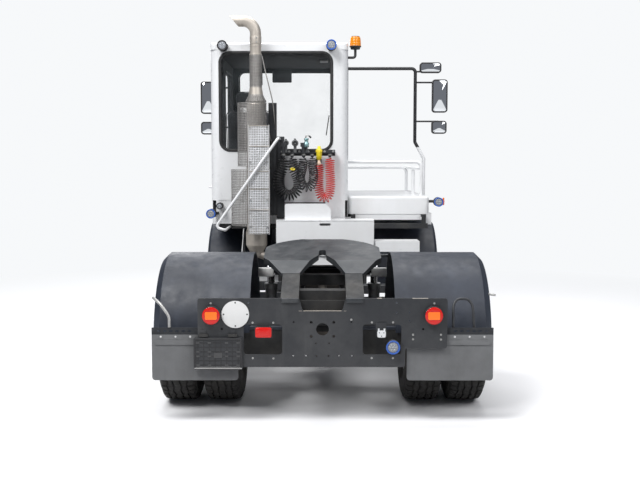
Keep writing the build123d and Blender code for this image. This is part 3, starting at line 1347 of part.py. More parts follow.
# Mirror heads. Each row: middle across, middle up, width, height, how far forward
HEADS = (
    (1360, 2620, 180, 380, MIRROR_Y),
    (1355, 2260, 175, 150, MIRROR_Y),
    (1250, 2945, 250, 120, MIRROR_Y),
    (-1360, 2620, 180, 380, LEFT_MIRROR_Y),
    (-1360, 2260, 180, 150, LEFT_MIRROR_Y),
)
HEAD_DEPTH = 70
with BuildPart() as mirror_heads:
    for x, z, width, height, y in HEADS:
        with BuildSketch(back_plane(y - 12)) as head:
            with Locations((x, z)):
                RectangleRounded(width, height, 35)
        extrude(head.sketch, amount=HEAD_DEPTH - 12)
        extrude(head.sketch, amount=-12, taper=20)
    for z, join, end in MIRROR_ARMS:
        pipe([(join, MIRROR_Y, z), (end, MIRROR_Y, z)], 10, 10)
    for z in (2740, 2270):
        pipe([(CAB_X0, LEFT_MIRROR_Y - 20, z), (-1360, LEFT_MIRROR_Y - 20, z)], 10, 11)
mirror_heads.part.label = "mirror_heads"
export_step(mirror_heads.part, "parts/mirror_heads.step")


# Exhaust: silencer behind the cab's left side, pipe over the roof, and its perforated guards
STACK_X = -650
STACK_Y = 110
STACK_R = 54
CAN_R = 94
GUARD_T = 4
STANDOFF = 14
# Guards over the silencer. Each row: middle across, radius, bottom, top
GUARDS = ((-689, 142, 1820, 2430), (-705, 191, 1243, 1785))
OUTLET_X = -960
OUTLET_Z = 3219
with BuildPart() as exhaust_stack:
    bend = (STACK_X, STACK_Y, OUTLET_Z)
    pipe([(STACK_X, STACK_Y, 2380), bend, (OUTLET_X, STACK_Y, OUTLET_Z)], 120, STACK_R)
    # Hollow outlet, cut aslant
    cross_bar(STACK_R - 6, (OUTLET_X - 1, OUTLET_X + 185), STACK_Y, OUTLET_Z, Mode.SUBTRACT)
    with BuildSketch(back_plane(STACK_Y + 70)) as slant:
        with BuildLine():
            Polyline(
                (OUTLET_X + 42, OUTLET_Z + 69),
                (OUTLET_X + 160, OUTLET_Z - 69),
                (OUTLET_X - 30, OUTLET_Z - 69),
                (OUTLET_X - 30, OUTLET_Z + 69),
                close=True,
            )
        make_face()
    extrude(slant.sketch, amount=140, mode=Mode.SUBTRACT)
    with BuildSketch(side_plane(STACK_X)) as can:
        with BuildLine():
            Polyline(
                (STACK_Y, 925),
                (STACK_Y + 40, 925),
                (STACK_Y + CAN_R + 10, 1045),
                (STACK_Y + CAN_R + 10, 1175),
                (STACK_Y + CAN_R, 1200),
                (STACK_Y + CAN_R, 2420),
                (STACK_Y + CAN_R - 14, 2450),
                (STACK_Y + STACK_R + 5, 2590),
                (STACK_Y, 2590),
                close=True,
            )
        make_face()
    revolve(can.sketch, axis=Axis((STACK_X, STACK_Y, 0), (0, 0, 1)))
    pipe([(STACK_X + 10, STACK_Y, 960), (STACK_X + 150, STACK_Y, 905)], 40, 38)
    # Stand-offs that meet the inside of the guards
    for x, radius, low, high in GUARDS:
        reach = ((radius - GUARD_T) ** 2 - (STACK_X + STANDOFF - x) ** 2) ** 0.5
        for z in (low + 90, high - 90):
            slab(
                (STACK_X - STANDOFF, STACK_X + STANDOFF),
                (STACK_Y - reach + PIN_GAP, STACK_Y - STACK_R),
                (z - STANDOFF, z + STANDOFF),
            )
    # Bracket to the beam of the cab subframe
    slab((STACK_X - 60, STACK_X + 60), (STACK_Y + 60, Y_BEAM_REAR - 30), (Z_BEAM - BEAM_H + 5, Z_BEAM - 5))
exhaust_stack.part.label = "exhaust_stack"
export_step(exhaust_stack.part, "parts/exhaust_stack.step")

with BuildPart() as exhaust_guard:
    for x, radius, low, high in GUARDS:
        with BuildSketch(Plane.XY.offset(low)) as wrap:
            with Locations((x, STACK_Y)):
                Circle(radius)
                Circle(radius - GUARD_T, mode=Mode.SUBTRACT)
            with Locations((x, STACK_Y - 100)):
                Rectangle(2 * radius, 260, mode=Mode.INTERSECT)
        extrude(wrap.sketch, amount=high - low)
    # Flat perforated panel that ties the two guards together
    slab((STACK_X - 60, STACK_X + 136), (STACK_Y - 200, STACK_Y - 194), (1165, 2210))
    for x, radius, low, high in GUARDS:
        reach = (radius**2 - (STACK_X - x) ** 2) ** 0.5
        for z in (low + 160, low + 320):
            slab((STACK_X - 20, STACK_X + 20), (STACK_Y - 196, STACK_Y - reach + 1.5), (z - 12, z + 12))
exhaust_guard.part.label = "exhaust_guard"
export_step(exhaust_guard.part, "parts/exhaust_guard.step")


# Equipment box behind the cab: open at the rear, closed by a flap that hinges down
BOX_SIDE = 500
BOX_X = (-450, BOX_SIDE)
BOX_Y = (-30, 262)
BOX_Z = (RAIL_TOP, 1296)
BOX_T = 6
FLAP_TOP = BOX_Z[1] - 10
with BuildPart() as equipment_box:
    slab(BOX_X, BOX_Y, BOX_Z)
    slab(
        (BOX_X[0] + BOX_T, BOX_X[1] - BOX_T),
        (BOX_Y[0] - 1, BOX_Y[1] - BOX_T),
        (BOX_Z[0] + BOX_T, BOX_Z[1] - BOX_T),
        Mode.SUBTRACT,
    )
    with BuildSketch(back_plane(BOX_Y[0] + 60)) as ledge:
        with BuildLine():
            foot = BOX_Z[1] - 1
            Polyline((-367, foot), (-367, 1454), (30, 1454), (80, 1404), (80, foot), close=True)
        make_face()
        fillet(ledge.vertices().group_by(Axis.Y)[-1], 20)
    extrude(ledge.sketch, amount=6)
    cross_bar(8, (BOX_X[0] + 60, BOX_X[1] - 60), BOX_Y[0] - 14, BOX_Z[0] + 96)
    for x in (BOX_X[0] + 60, BOX_X[1] - 60):
        slab((x - 8, x + 8), (BOX_Y[0] - 22, BOX_Y[0] + 10), (BOX_Z[0] + 40, BOX_Z[0] + 104))
    slab(BOX_X, (BOX_Y[0] - 4, BOX_Y[0] + 2), (BOX_Z[0], BOX_Z[0] + 80))
equipment_box.part.label = "equipment_box"
export_step(equipment_box.part, "parts/equipment_box.step")

with BuildPart() as box_flap:
    slab((BOX_X[0] + 2, BOX_X[1] - 2), (BOX_Y[0] - 7, BOX_Y[0] - 1), (BOX_Z[0] + 116, FLAP_TOP))
    with BuildSketch(back_plane(BOX_Y[0])) as slot:
        with Locations((24, 1255)):
            SlotOverall(107, 22)
    extrude(slot.sketch, amount=10, mode=Mode.SUBTRACT)
    for x in (BOX_X[0] + 160, (BOX_X[0] + BOX_X[1]) / 2, BOX_X[1] - 160):
        cross_bar(13, (x - 30, x + 30), BOX_Y[0] - 14, BOX_Z[0] + 96)
        slab((x - 30, x + 30), (BOX_Y[0] - 10, BOX_Y[0] - 4), (BOX_Z[0] + 100, BOX_Z[0] + 124))
        cross_bar(8 + PIN_GAP, (x - 31, x + 31), BOX_Y[0] - 14, BOX_Z[0] + 96, Mode.SUBTRACT)
box_flap.part.label = "box_flap"
export_step(box_flap.part, "parts/box_flap.step")


# Rack for the air and electric lines: post, equipment case beside it, bar and shelf
POST = (-455, -378)
RACK_Y = (205, 240)
BAR_Z = (1920, 1980)
SHELF_Z = 1945
LINE_Y = 150
LINE_TOP = 1905
# Nipples under the shelf and parked coupling heads on it
# Each row: place across, bottom, radius, height of the head above the shelf
COUPLINGS = (
    (-300, LINE_TOP, 15, 0),
    (-385, LINE_TOP, 16, 105),
    (-100, LINE_TOP, 15, 0),
    (-186, LINE_TOP, 16, 105),
    (-34, LINE_TOP - 55, 26, 0),
    (72, LINE_TOP, 15, 0),
)
with BuildPart() as line_rack:
    slab(POST, (RACK_Y[1] - 18, RACK_Y[1]), (BOX_Z[1], 2110))
    slab((-534, POST[0] + 2), RACK_Y, (1330, 2440))
    slab((POST[1] - 45, 125), RACK_Y, BAR_Z)
    slab((POST[1] - 45, 125), (LINE_Y - 32, RACK_Y[0] + 2), (SHELF_Z, SHELF_Z + 8))
    slab((90, 125), (RACK_Y[1] - 2, Y_CAB_BACK), (BAR_Z[0] + 15, BAR_Z[1] - 15))

    for x, low, radius, head in COUPLINGS:
        with BuildSketch(Plane.XY.offset(low)):
            with Locations((x, LINE_Y)):
                Circle(radius)
        extrude(amount=SHELF_Z - low)
        if head:
            with BuildSketch(Plane.XY.offset(SHELF_Z + 8)):
                with Locations((x, LINE_Y)):
                    Circle(20)
            extrude(amount=head - 30)
            with BuildSketch(Plane.XY.offset(SHELF_Z + 8 + head - 50)):
                with Locations((x, LINE_Y)):
                    RectangleRounded(62, 46, 14)
            extrude(amount=40)
line_rack.part.label = "line_rack"
export_step(line_rack.part, "parts/line_rack.step")

# Curly lines, each a fat tube of the coil's outer size. The routes are chosen by hand
LINES = {
    "line_black_large": (
        40,
        (
            (-300, LINE_Y, LINE_TOP),
            (-300, LINE_Y, 1815),
            (-232, LINE_Y, 1700),
            (-240, LINE_Y, 1575),
            (-340, LINE_Y, 1520),
            (-432, LINE_Y, 1600),
            (-440, LINE_Y, 1715),
            (-385, LINE_Y, 1815),
            (-385, LINE_Y, LINE_TOP),
        ),
    ),
    "line_black_small": (
        31,
        (
            (-100, LINE_Y, LINE_TOP),
            (-100, LINE_Y, 1825),
            (-86, 76, 1735),
            (-96, 42, 1630),
            (-163, 36, 1605),
            (-222, 44, 1690),
            (-186, LINE_Y, 1815),
            (-186, LINE_Y, LINE_TOP),
        ),
    ),
    "line_red": (
        30,
        (
            (-34, LINE_Y, LINE_TOP - 55),
            (-34, LINE_Y, 1745),
            (-42, LINE_Y - 8, 1620),
            (-14, LINE_Y - 14, 1510),
            (52, LINE_Y - 12, 1500),
            (86, LINE_Y - 6, 1600),
            (78, LINE_Y, 1730),
            (72, LINE_Y, 1820),
            (72, LINE_Y, LINE_TOP),
        ),
    ),
}


def bend_radii(points):
    """Arc radii that use 0.45 of the shorter run beside each corner."""
    corners = [Vector(*point) for point in points]
    radii = []
    for before, here, after in zip(corners, corners[1:], corners[2:]):
        turn = radians((here - before).get_angle(after - here))
        shorter = min((here - before).length, (after - here).length)
        radii.append(0.45 * shorter * cos(turn / 2) / sin(turn / 2))
    return radii


for word, (radius, route) in LINES.items():
    radii = bend_radii(route)
    print(word, "bend radii", [round(value) for value in radii])
    with BuildPart() as line:
        with BuildLine() as course:
            FilletPolyline(*route, radius=radii)
        with BuildSketch(Plane(origin=course.line @ 0, z_dir=course.line % 0)):
            Circle(radius)
        sweep(path=course.line)
    line.part.label = word
    export_step(line.part, f"parts/{word}.step")



# Tanks beside the rails: fuel on the left, battery case and two air tanks on the right
TANK_OUT = 1150
TANK_IN = 620
TANK_Y = (-1150, -60)
TANK_Z = (470, 890)
BATTERY_REAR = -560
AIR_R = 104
with BuildPart() as side_tanks:
    with BuildSketch(back_plane(TANK_Y[1])):
        with Locations((-(TANK_OUT + TANK_IN) / 2, sum(TANK_Z) / 2)):
            RectangleRounded(TANK_OUT - TANK_IN, TANK_Z[1] - TANK_Z[0], 90)
    extrude(amount=TANK_Y[1] - TANK_Y[0])
    for y in (TANK_Y[0] + 120, TANK_Y[1] - 240):
        slab((-TANK_IN - 10, -RAIL_OUT), (y - 30, y + 30), (RAIL_BOTTOM + 30, RAIL_BOTTOM + 110))
    with Locations((-TANK_OUT + 140, TANK_Y[1] - 160, TANK_Z[1] + 8)):
        Cylinder(55, 40)
    with BuildSketch(back_plane(TANK_Y[1])):
        with Locations(((TANK_OUT + TANK_IN) / 2, sum(TANK_Z) / 2)):
            RectangleRounded(TANK_OUT - TANK_IN, TANK_Z[1] - TANK_Z[0], 20)
    extrude(amount=TANK_Y[1] - BATTERY_REAR)
    bracket_z = (RAIL_BOTTOM + 30, RAIL_BOTTOM + 110)
    slab((RAIL_OUT, TANK_IN + 10), (BATTERY_REAR + 60, BATTERY_REAR + 120), bracket_z)
    for x in (TANK_IN + AIR_R + 10, TANK_OUT - AIR_R - 10):
        with Locations((x, (TANK_Y[0] + BATTERY_REAR - 30) / 2, TANK_Z[0] + AIR_R + 60)):
            Cylinder(AIR_R, BATTERY_REAR - 30 - TANK_Y[0], rotation=(90, 0, 0))
            fillet(side_tanks.edges(Select.LAST).filter_by(GeomType.CIRCLE), 35)
    slab((RAIL_OUT, TANK_OUT - 60), (-880, -820), (TANK_Z[0] + 2 * AIR_R + 40, TANK_Z[0] + 2 * AIR_R + 90))
side_tanks.part.label = "side_tanks"
export_step(side_tanks.part, "parts/side_tanks.step")


# Steps: two treads between end cheeks under the cab door, and a deck strip on the right
TREAD_Y = (30, 500)
TREAD_X = (-1190, -800)
TREADS_Z = (470, 830)
CHEEK_T = 8
CHEEK_Z = (460, 880)
DECK_X = (515, 945)
DECK_Y = (-20, 240)
DECK_Z = (988, 1090)
with BuildPart() as side_steps:
    for z in TREADS_Z:
        slab(TREAD_X, TREAD_Y, (z, z + 30))
    # Kick plate, carried up to the beam under the cab and tied to the rail
    side_panel(
        [
            (TREAD_Y[0], CHEEK_Z[0]),
            (TREAD_Y[1], CHEEK_Z[0]),
            (TREAD_Y[1], CHEEK_Z[1] + 20),
            (Y_BEAM_REAR + 30, Z_BEAM - BEAM_H),
            (Y_BEAM_REAR - 30, Z_BEAM - BEAM_H),
            (TREAD_Y[0], CHEEK_Z[1] + 20),
        ],
        TREAD_X[1],
        TREAD_X[1] + CHEEK_T,
    )
    for y in (TREAD_Y[0] + CHEEK_T, TREAD_Y[1]):
        with BuildSketch(back_plane(y)) as cheek:
            with BuildLine():
                Polyline(
                    (TREAD_X[0], CHEEK_Z[0]),
                    (TREAD_X[1], CHEEK_Z[0]),
                    (TREAD_X[1], CHEEK_Z[1]),
                    (TREAD_X[0] + 60, CHEEK_Z[1]),
                    (TREAD_X[0], CHEEK_Z[1] - 60),
                    close=True,
                )
            make_face()
        extrude(cheek.sketch, amount=CHEEK_T)
    slab((TREAD_X[1] + 4, -RAIL_X_FRONT - RAIL_W / 2), (300, 340), (RAIL_BOTTOM + 40, RAIL_BOTTOM + 90))
    slab(DECK_X, DECK_Y, (DECK_Z[1] - 5, DECK_Z[1]))
    slab(DECK_X, (DECK_Y[0], DECK_Y[0] + 5), DECK_Z)
    for x in DECK_X:
        slab(sorted((x, (x * 9 + 700) / 10)), DECK_Y, (DECK_Z[0] + 20, DECK_Z[1]))
    # Two arms carry the strip from the equipment box's side
    for y in (DECK_Y[0] + 60, DECK_Y[1] - 100):
        slab((BOX_SIDE, DECK_X[0] + 200), (y, y + 40), (DECK_Z[1] - 45, DECK_Z[1] - 4))
side_steps.part.label = "side_steps"
export_step(side_steps.part, "parts/side_steps.step")


# Front: bumper with a tow jaw, lamps, and the nose panel with its grille
BUMPER_HALF = 1190
BUMPER_Z = (440, 820)
BUMPER_T = 8
TOW_R = 21
TOW_Z = (560, 590, 660, 690)
LAMP_X = 900
LAMP_Z = 650
LAMP_R = 85
with BuildPart() as front_bumper:
    with BuildSketch(Plane.XY.offset(BUMPER_Z[0])) as plan:
        with BuildLine():
            Polyline(
                (-BUMPER_HALF, Y_RAIL_FRONT + 20),
                (-BUMPER_HALF, Y_FRONT - 90),
                (-BUMPER_HALF + 110, Y_FRONT),
                (BUMPER_HALF - 110, Y_FRONT),
                (BUMPER_HALF, Y_FRONT - 90),
                (BUMPER_HALF, Y_RAIL_FRONT + 20),
                close=True,
            )
        make_face()
    extrude(amount=BUMPER_Z[1] - BUMPER_Z[0])
    fillet(front_bumper.faces().sort_by(Axis.Y)[-1].edges().filter_by(Axis.X), 40)
    hollow_z = (BUMPER_Z[0] + 40, BUMPER_Z[1] - 40)
    slab((-BUMPER_HALF + 40, BUMPER_HALF - 40), (Y_RAIL_FRONT, Y_FRONT - 50), hollow_z, Mode.SUBTRACT)
    slab((-150, 150), (Y_FRONT - 60, Y_FRONT + 1), (BUMPER_Z[0] + 80, BUMPER_Z[1] - 80), Mode.SUBTRACT)
    for side, word in SIDES:
        with Locations((side * LAMP_X, Y_FRONT, LAMP_Z)):
            Cylinder(LAMP_R + 6, 140, rotation=(90, 0, 0), mode=Mode.SUBTRACT)
        slab(
            sorted((side * (RAIL_X_FRONT - 30), side * (RAIL_X_FRONT + 30))),
            (Y_RAIL_FRONT, Y_FRONT - 45),
            (RAIL_BOTTOM + 20, RAIL_BOTTOM + 120),
        )
    slab((-RAIL_X_FRONT, RAIL_X_FRONT), (Y_FRONT - 130, Y_FRONT - 110), (TOW_Z[0] - 20, TOW_Z[3] + 40))
    with Locations((0, Y_FRONT - 64, BUMPER_Z[1])):
        Cylinder(TOW_R + 12, 200, mode=Mode.SUBTRACT)
    for low, high in (TOW_Z[:2], TOW_Z[2:]):
        with BuildSketch(Plane.XY.offset(low)) as jaw:
            with Locations((0, Y_FRONT - 85)):
                Rectangle(120, 90)
            with Locations((0, Y_FRONT - 64)):
                Circle(60)
            with Locations((0, Y_FRONT - 64)):
                Circle(TOW_R, mode=Mode.SUBTRACT)
        extrude(jaw.sketch, amount=high - low)
front_bumper.part.label = "front_bumper"
export_step(front_bumper.part, "parts/front_bumper.step")

NOSE_Z = (880, Z_BEAM)
with BuildPart() as nose_panel:
    with BuildSketch(Plane.XY.offset(NOSE_Z[0])):
        with Locations((0, Y_BEAM_FRONT + 55)):
            RectangleRounded(2240, 50, 20)
    extrude(amount=NOSE_Z[1] - NOSE_Z[0])
    with BuildSketch(back_plane(Y_BEAM_FRONT + 90)) as slots:
        with Locations((0, sum(NOSE_Z) / 2)):
            with GridLocations(720, 48, 2, 6):
                SlotOverall(640, 26)
    extrude(slots.sketch, amount=80, mode=Mode.SUBTRACT)
nose_panel.part.label = "nose_panel"
export_step(nose_panel.part, "parts/nose_panel.step")


# Lamps: head lamps in the bumper, work lamps at the cab's rear corners, lower lamps, the beacon
# Each row: across, along, up, radius, how far its bracket reaches forward
WORK_LAMPS = (
    (-984, Y_CAB_BACK - 30, 2997, 50, 30),
    (87, Y_CAB_BACK - 30, 3004, 50, 30),
    (-1022, Y_CAB_BACK - 30, 1424, 32, 34),
    (-1107, Y_CAB_BACK - 50, 1347, 46, 30),
    (1165, HOOD_REAR - 36, 1459, 46, 80),
)
BEACON_X = 328
BEACON_Y = 400
with BuildPart() as lamps:
    for side, word in SIDES:
        with BuildSketch(back_plane(Y_FRONT - 4)) as lamp:
            with Locations((side * LAMP_X, LAMP_Z)):
                Circle(LAMP_R)
        extrude(lamp.sketch, amount=46)
        with BuildSketch(back_plane(Y_FRONT - 50)) as base:
            with Locations((side * LAMP_X, LAMP_Z)):
                Circle(LAMP_R + 30)
        extrude(base.sketch, amount=20)
    for x, y, z, radius, reach in WORK_LAMPS:
        with BuildSketch(back_plane(y)) as bowl:
            with Locations((x, z)):
                Circle(radius)
        extrude(bowl.sketch, amount=34)
        extrude(bowl.sketch, amount=-18, taper=30)
        slab((x - 14, x + 14), (y - 4, y + reach), (z - 14, z + 14))
    # Arms that carry the two outer lamps from the cab's skirt and the hood's side
    slab((-1121, -1042), (Y_CAB_BACK - 30, Y_CAB_BACK - 20), (1333, 1361))
    slab((-1068, -1042), (Y_CAB_BACK - 30, Y_CAB_BACK + 4), (1333, 1361))
    slab((HOOD_X1, 1179), (HOOD_REAR + 40, HOOD_REAR + 54), (1445, 1473))
    pipe([(CAB_X1, BEACON_Y, 2900), (BEACON_X, BEACON_Y, 2900), (BEACON_X, BEACON_Y, 2990)], 24, 13)
    with Locations((BEACON_X, BEACON_Y, 3000)):
        Cylinder(44, 30)
    with BuildSketch(Plane.XY.offset(3010)):
        with Locations((BEACON_X, BEACON_Y)):
            Circle(56)
    extrude(amount=100, taper=8)
lamps.part.label = "lamps"
export_step(lamps.part, "parts/lamps.step")

# Grab rail: from the rack's post, down across the exhaust guard and forward to the subframe beam
GRAB_Y = -112
with BuildPart() as grab_rail:
    pipe(
        [
            (-425, RACK_Y[1] - 18, 2085),
            (-425, GRAB_Y, 2085),
            (-1030, GRAB_Y, 1234),
            (-937, GRAB_Y, 1205),
            (-937, Y_BEAM_REAR - 30, 1205),
        ],
        31,
        13.5,
    )
grab_rail.part.label = "grab_rail"
export_step(grab_rail.part, "parts/grab_rail.step")
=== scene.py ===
"""A white terminal tractor seen from behind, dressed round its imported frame."""

import bmesh
import bpy
import numpy as np
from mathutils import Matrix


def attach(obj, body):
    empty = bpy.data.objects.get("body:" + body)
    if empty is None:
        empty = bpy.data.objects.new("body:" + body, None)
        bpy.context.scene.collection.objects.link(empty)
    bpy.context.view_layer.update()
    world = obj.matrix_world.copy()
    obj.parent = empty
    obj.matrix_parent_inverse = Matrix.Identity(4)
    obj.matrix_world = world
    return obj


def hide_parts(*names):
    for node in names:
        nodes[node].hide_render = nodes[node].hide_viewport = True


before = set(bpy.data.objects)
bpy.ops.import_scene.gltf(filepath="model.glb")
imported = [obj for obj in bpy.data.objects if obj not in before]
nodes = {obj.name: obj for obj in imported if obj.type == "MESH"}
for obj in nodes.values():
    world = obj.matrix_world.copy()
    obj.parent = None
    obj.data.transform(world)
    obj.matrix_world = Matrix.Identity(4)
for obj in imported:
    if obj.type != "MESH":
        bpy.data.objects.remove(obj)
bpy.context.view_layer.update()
TURN = 2 * np.pi
BACKWARD = (0.0, -1.0, 0.0)
FORWARD = (0.0, 1.0, 0.0)
UP = (0.0, 0.0, 1.0)
SIDES = ((-1, "left"), (1, "right"))


# Camera, floor, world and lamps

CAMERA_AT = (0.0, -9.33, 1.87)
CAMERA_DOWN = 4.71
CAMERA_LEFT = 0.15
LENS = 54
FLOOR_HALF = 60.0
PALE = (0.93, 0.945, 0.96, 1)
# Each row: name, place, height of its target, size in metres, power in watts
STUDIO_LAMPS = (
    ("key", (-4.5, -6.5, 9.5), 1.2, 4.5, 1080),
    ("fill", (5.5, -7.5, 8.0), 1.2, 6.0, 480),
    ("top", (0.0, 1.0, 9.5), 1.0, 7.0, 620),
    ("front", (-2.0, 9.0, 6.5), 1.2, 6.0, 420),
)


def linked(name, data):
    """A new object in the scene."""
    made = bpy.data.objects.new(name, data)
    bpy.context.collection.objects.link(made)
    return made


def add_camera():
    """The photograph's view: level roll, tipped a little down, a 54 mm lens on a 36 mm sensor."""
    data = bpy.data.cameras.new("camera")
    data.lens = LENS
    data.sensor_width = 36
    data.clip_end = 200
    camera = linked("camera", data)
    camera.location = CAMERA_AT
    camera.rotation_euler = (np.radians(90 - CAMERA_DOWN), 0, np.radians(CAMERA_LEFT))
    bpy.context.scene.camera = camera


def add_lamp(name, place, target, size, power):
    """A square soft lamp that faces its target."""
    data = bpy.data.lights.new(name, "AREA")
    data.energy = power
    data.size = size
    lamp = linked(name, data)
    lamp.location = place
    way = np.subtract(target, place)
    lamp.rotation_euler = (np.arctan2(np.hypot(way[0], way[1]), -way[2]), 0, np.arctan2(-way[0], way[1]))


def looked_at(tree, *more):
    """1 for what the camera sees, straight or through glass, and for the other kinds of ray named."""
    rays = node(tree, "ShaderNodeLightPath", {}).outputs
    looked = rays["Is Camera Ray"]
    for kind in ("Transmission", *more):
        looked = math(tree, "MAXIMUM", looked, rays[f"Is {kind} Ray"])
    return looked


def add_world():
    """Pale everywhere, and dimmer as light than it looks to the camera and through glass."""
    world = bpy.data.worlds.new("studio")
    bpy.context.scene.world = world
    world.use_nodes = True
    tree = world.node_tree
    lit = tree.nodes["Background"]
    feed(tree, lit, {"Color": (0.86, 0.9, 1.0, 1), "Strength": 0.22})
    seen = node(tree, "ShaderNodeBackground", {"Color": PALE, "Strength": 1.0})
    mixed = node(tree, "ShaderNodeMixShader", {0: looked_at(tree), 1: lit.outputs[0], 2: seen.outputs[0]})
    feed(tree, tree.nodes["World Output"], {"Surface": mixed.outputs[0]})


def floor_material():
    """A pale floor that keeps its shadow near the object and runs into the pale world further off.

    It is white to the camera, in gloss and through glass, and dimmer where it lights the object.
    """
    material, tree, shader = new_material("studio_floor")
    looked = looked_at(tree, "Glossy")
    shade = blend_colours(tree, looked, (0.42, 0.42, 0.43), (0.86, 0.86, 0.87))
    feed(tree, shader, {"Base Color": shade, "Roughness": 0.9, "Specular IOR Level": 0.1})
    distance = node(tree, "ShaderNodeVectorMath", {0: places(tree)}, operation="LENGTH").outputs["Value"]
    weight = math(tree, "MULTIPLY", between(tree, distance, 3.4, 8.0), looked)
    glow = node(tree, "ShaderNodeEmission", {"Color": PALE, "Strength": 1.0})
    mixed = node(tree, "ShaderNodeMixShader", {0: weight, 1: shader.outputs[0], 2: glow.outputs[0]})
    feed(tree, tree.nodes["Material Output"], {"Surface": mixed.outputs[0]})
    return material


def add_studio():
    """The floor, a soft lamp from each side behind the camera, one overhead and one in front."""
    square = np.array(((-1, -1, 0), (1, -1, 0), (1, 1, 0), (-1, 1, 0))) * FLOOR_HALF
    put("floor", (square, np.array(((0, 1, 2, 3),))), floor_material(), closed=False)
    for name, place, height, size, power in STUDIO_LAMPS:
        add_lamp(name, place, (0, 0, height), size, power)
    bpy.context.scene.view_settings.view_transform = "Standard"


# Materials. Every pattern reads Object coordinates, which are the frame's metres


def new_material(name):
    """An empty principled material, with its tree and its shader."""
    material = bpy.data.materials.new(name)
    material.use_nodes = True
    return material, material.node_tree, material.node_tree.nodes["Principled BSDF"]


def feed(tree, made, inputs):
    """Set a node's inputs to values, or link them to sockets."""
    for key, value in inputs.items():
        if isinstance(value, bpy.types.NodeSocket):
            tree.links.new(value, made.inputs[key])
        else:
            made.inputs[key].default_value = value


def node(tree, kind, inputs, **settings):
    """A new node with its inputs and settings."""
    made = tree.nodes.new(kind)
    for key, value in settings.items():
        setattr(made, key, value)
    feed(tree, made, inputs)
    return made


def places(tree):
    """The place of each point, in the frame's metres."""
    return node(tree, "ShaderNodeTexCoord", {}).outputs["Object"]


def axis_value(tree, axis):
    """One coordinate of each point."""
    return node(tree, "ShaderNodeSeparateXYZ", {"Vector": places(tree)}).outputs[axis]


def math(tree, operation, first, second=0.0, third=0.0):
    """A sum on values or sockets."""
    return node(tree, "ShaderNodeMath", {0: first, 1: second, 2: third}, operation=operation).outputs[0]


def noise(tree, scale, detail=4.0, roughness=0.6, stretch=(1, 1, 1)):
    """Cloudy noise, which stretch draws out along an axis."""
    vector = node(tree, "ShaderNodeMapping", {"Vector": places(tree), "Scale": stretch}).outputs[0]
    inputs = {"Vector": vector, "Scale": scale, "Detail": detail, "Roughness": roughness}
    return node(tree, "ShaderNodeTexNoise", inputs).outputs["Fac"]


def lattice_of(tree, scale):
    """Two crossed sets of waves, one along X and one along Z, multiplied."""
    waves = [
        node(tree, "ShaderNodeTexWave", {"Vector": places(tree), "Scale": scale}, bands_direction=way)
        for way in "XZ"
    ]
    return math(tree, "MULTIPLY", waves[0].outputs["Fac"], waves[1].outputs["Fac"])


def between(tree, value, low, high, to_low=0.0, to_high=1.0):
    """A value carried from one range to another, and held at the ends."""
    inputs = {"Value": value, "From Min": low, "From Max": high, "To Min": to_low, "To Max": to_high}
    return node(tree, "ShaderNodeMapRange", inputs).outputs[0]


def blend_colours(tree, factor, first, second):
    """The first colour where the factor is 0 and the second where it is 1."""
    made = tree.nodes.new("ShaderNodeMix")
    made.data_type = "RGBA"
    first, second = (
        value if isinstance(value, bpy.types.NodeSocket) else (*value, 1) for value in (first, second)
    )
    feed(tree, made, {0: factor, 6: first, 7: second})
    return made.outputs[2]


def bumped(tree, shader, height, strength, distance):
    """Raise the surface by a height pattern."""
    bump = node(tree, "ShaderNodeBump", {"Height": height, "Strength": strength, "Distance": distance})
    feed(tree, shader, {"Normal": bump.outputs[0]})


def weathered(name, colour, grime, share, rough, metal=0.0, scale=3.0, grain=180.0, dent=0.0006, coat=0.0):
    """Paint, steel or plastic: clouds of grime over the colour, more of it low down, and a fine grain.

    The share of grime is noise above a threshold plus a rise towards the ground.
    """
    material, tree, shader = new_material(name)
    clouds = between(tree, noise(tree, scale, 6.0, 0.65), 0.42, 0.72, 0.0, share)
    streaks = between(tree, noise(tree, 9.0, 3.0, 0.5, (1, 1, 0.12)), 0.55, 0.8, 0.0, share * 0.6)
    low = between(tree, axis_value(tree, "Z"), 0.2, 1.0, share * 0.7, 0.0)
    dirt = math(tree, "MINIMUM", math(tree, "ADD", math(tree, "ADD", clouds, streaks), low), 0.95)
    inputs = {
        "Base Color": blend_colours(tree, dirt, colour, grime),
        "Roughness": between(tree, noise(tree, 14.0), 0.3, 0.7, rough * 0.85, min(1.0, rough * 1.3)),
        "Metallic": metal,
        "Coat Weight": coat,
        "Coat Roughness": 0.15,
    }
    feed(tree, shader, inputs)
    bumped(tree, shader, noise(tree, grain, 2.0), 0.35, dent)
    return material


def painted(shader, key="Base Color"):
    """What is linked to a shader's input."""
    return shader.inputs[key].links[0].from_socket


def lined_and_shaded(material, inside, rake):
    """Turn the part of a painted wall that faces the cab's inside into near black, matt trim that is also
    painted shade for the dim cab.

    Inside is where every coordinate lies between the cab's inner faces, the front one raked.
    """
    tree = material.node_tree
    shader = tree.nodes["Principled BSDF"]
    within = 1.0
    for axis, first, last in zip("XYZ", *inside):
        value = axis_value(tree, axis)
        within = math(tree, "MULTIPLY", within, math(tree, "GREATER_THAN", value, first))
        if axis == "Y":
            higher = math(tree, "MAXIMUM", math(tree, "SUBTRACT", axis_value(tree, "Z"), RAKE_FOOT), 0.0)
            value = math(tree, "MULTIPLY_ADD", higher, rake, value)
        within = math(tree, "MULTIPLY", within, math(tree, "LESS_THAN", value, last))
    # Painted shade: the inside faces turn near black and matt, for dark trim and the shade inside the cab
    dull = math(tree, "MULTIPLY", within, 0.95)
    inputs = {
        "Base Color": blend_colours(tree, within, painted(shader), INNER_TRIM_AND_SHADE),
        "Roughness": math(tree, "MAXIMUM", painted(shader, "Roughness"), dull),
        "Coat Weight": between(tree, within, 0.0, 1.0, 0.4, 0.0),
    }
    feed(tree, shader, inputs)


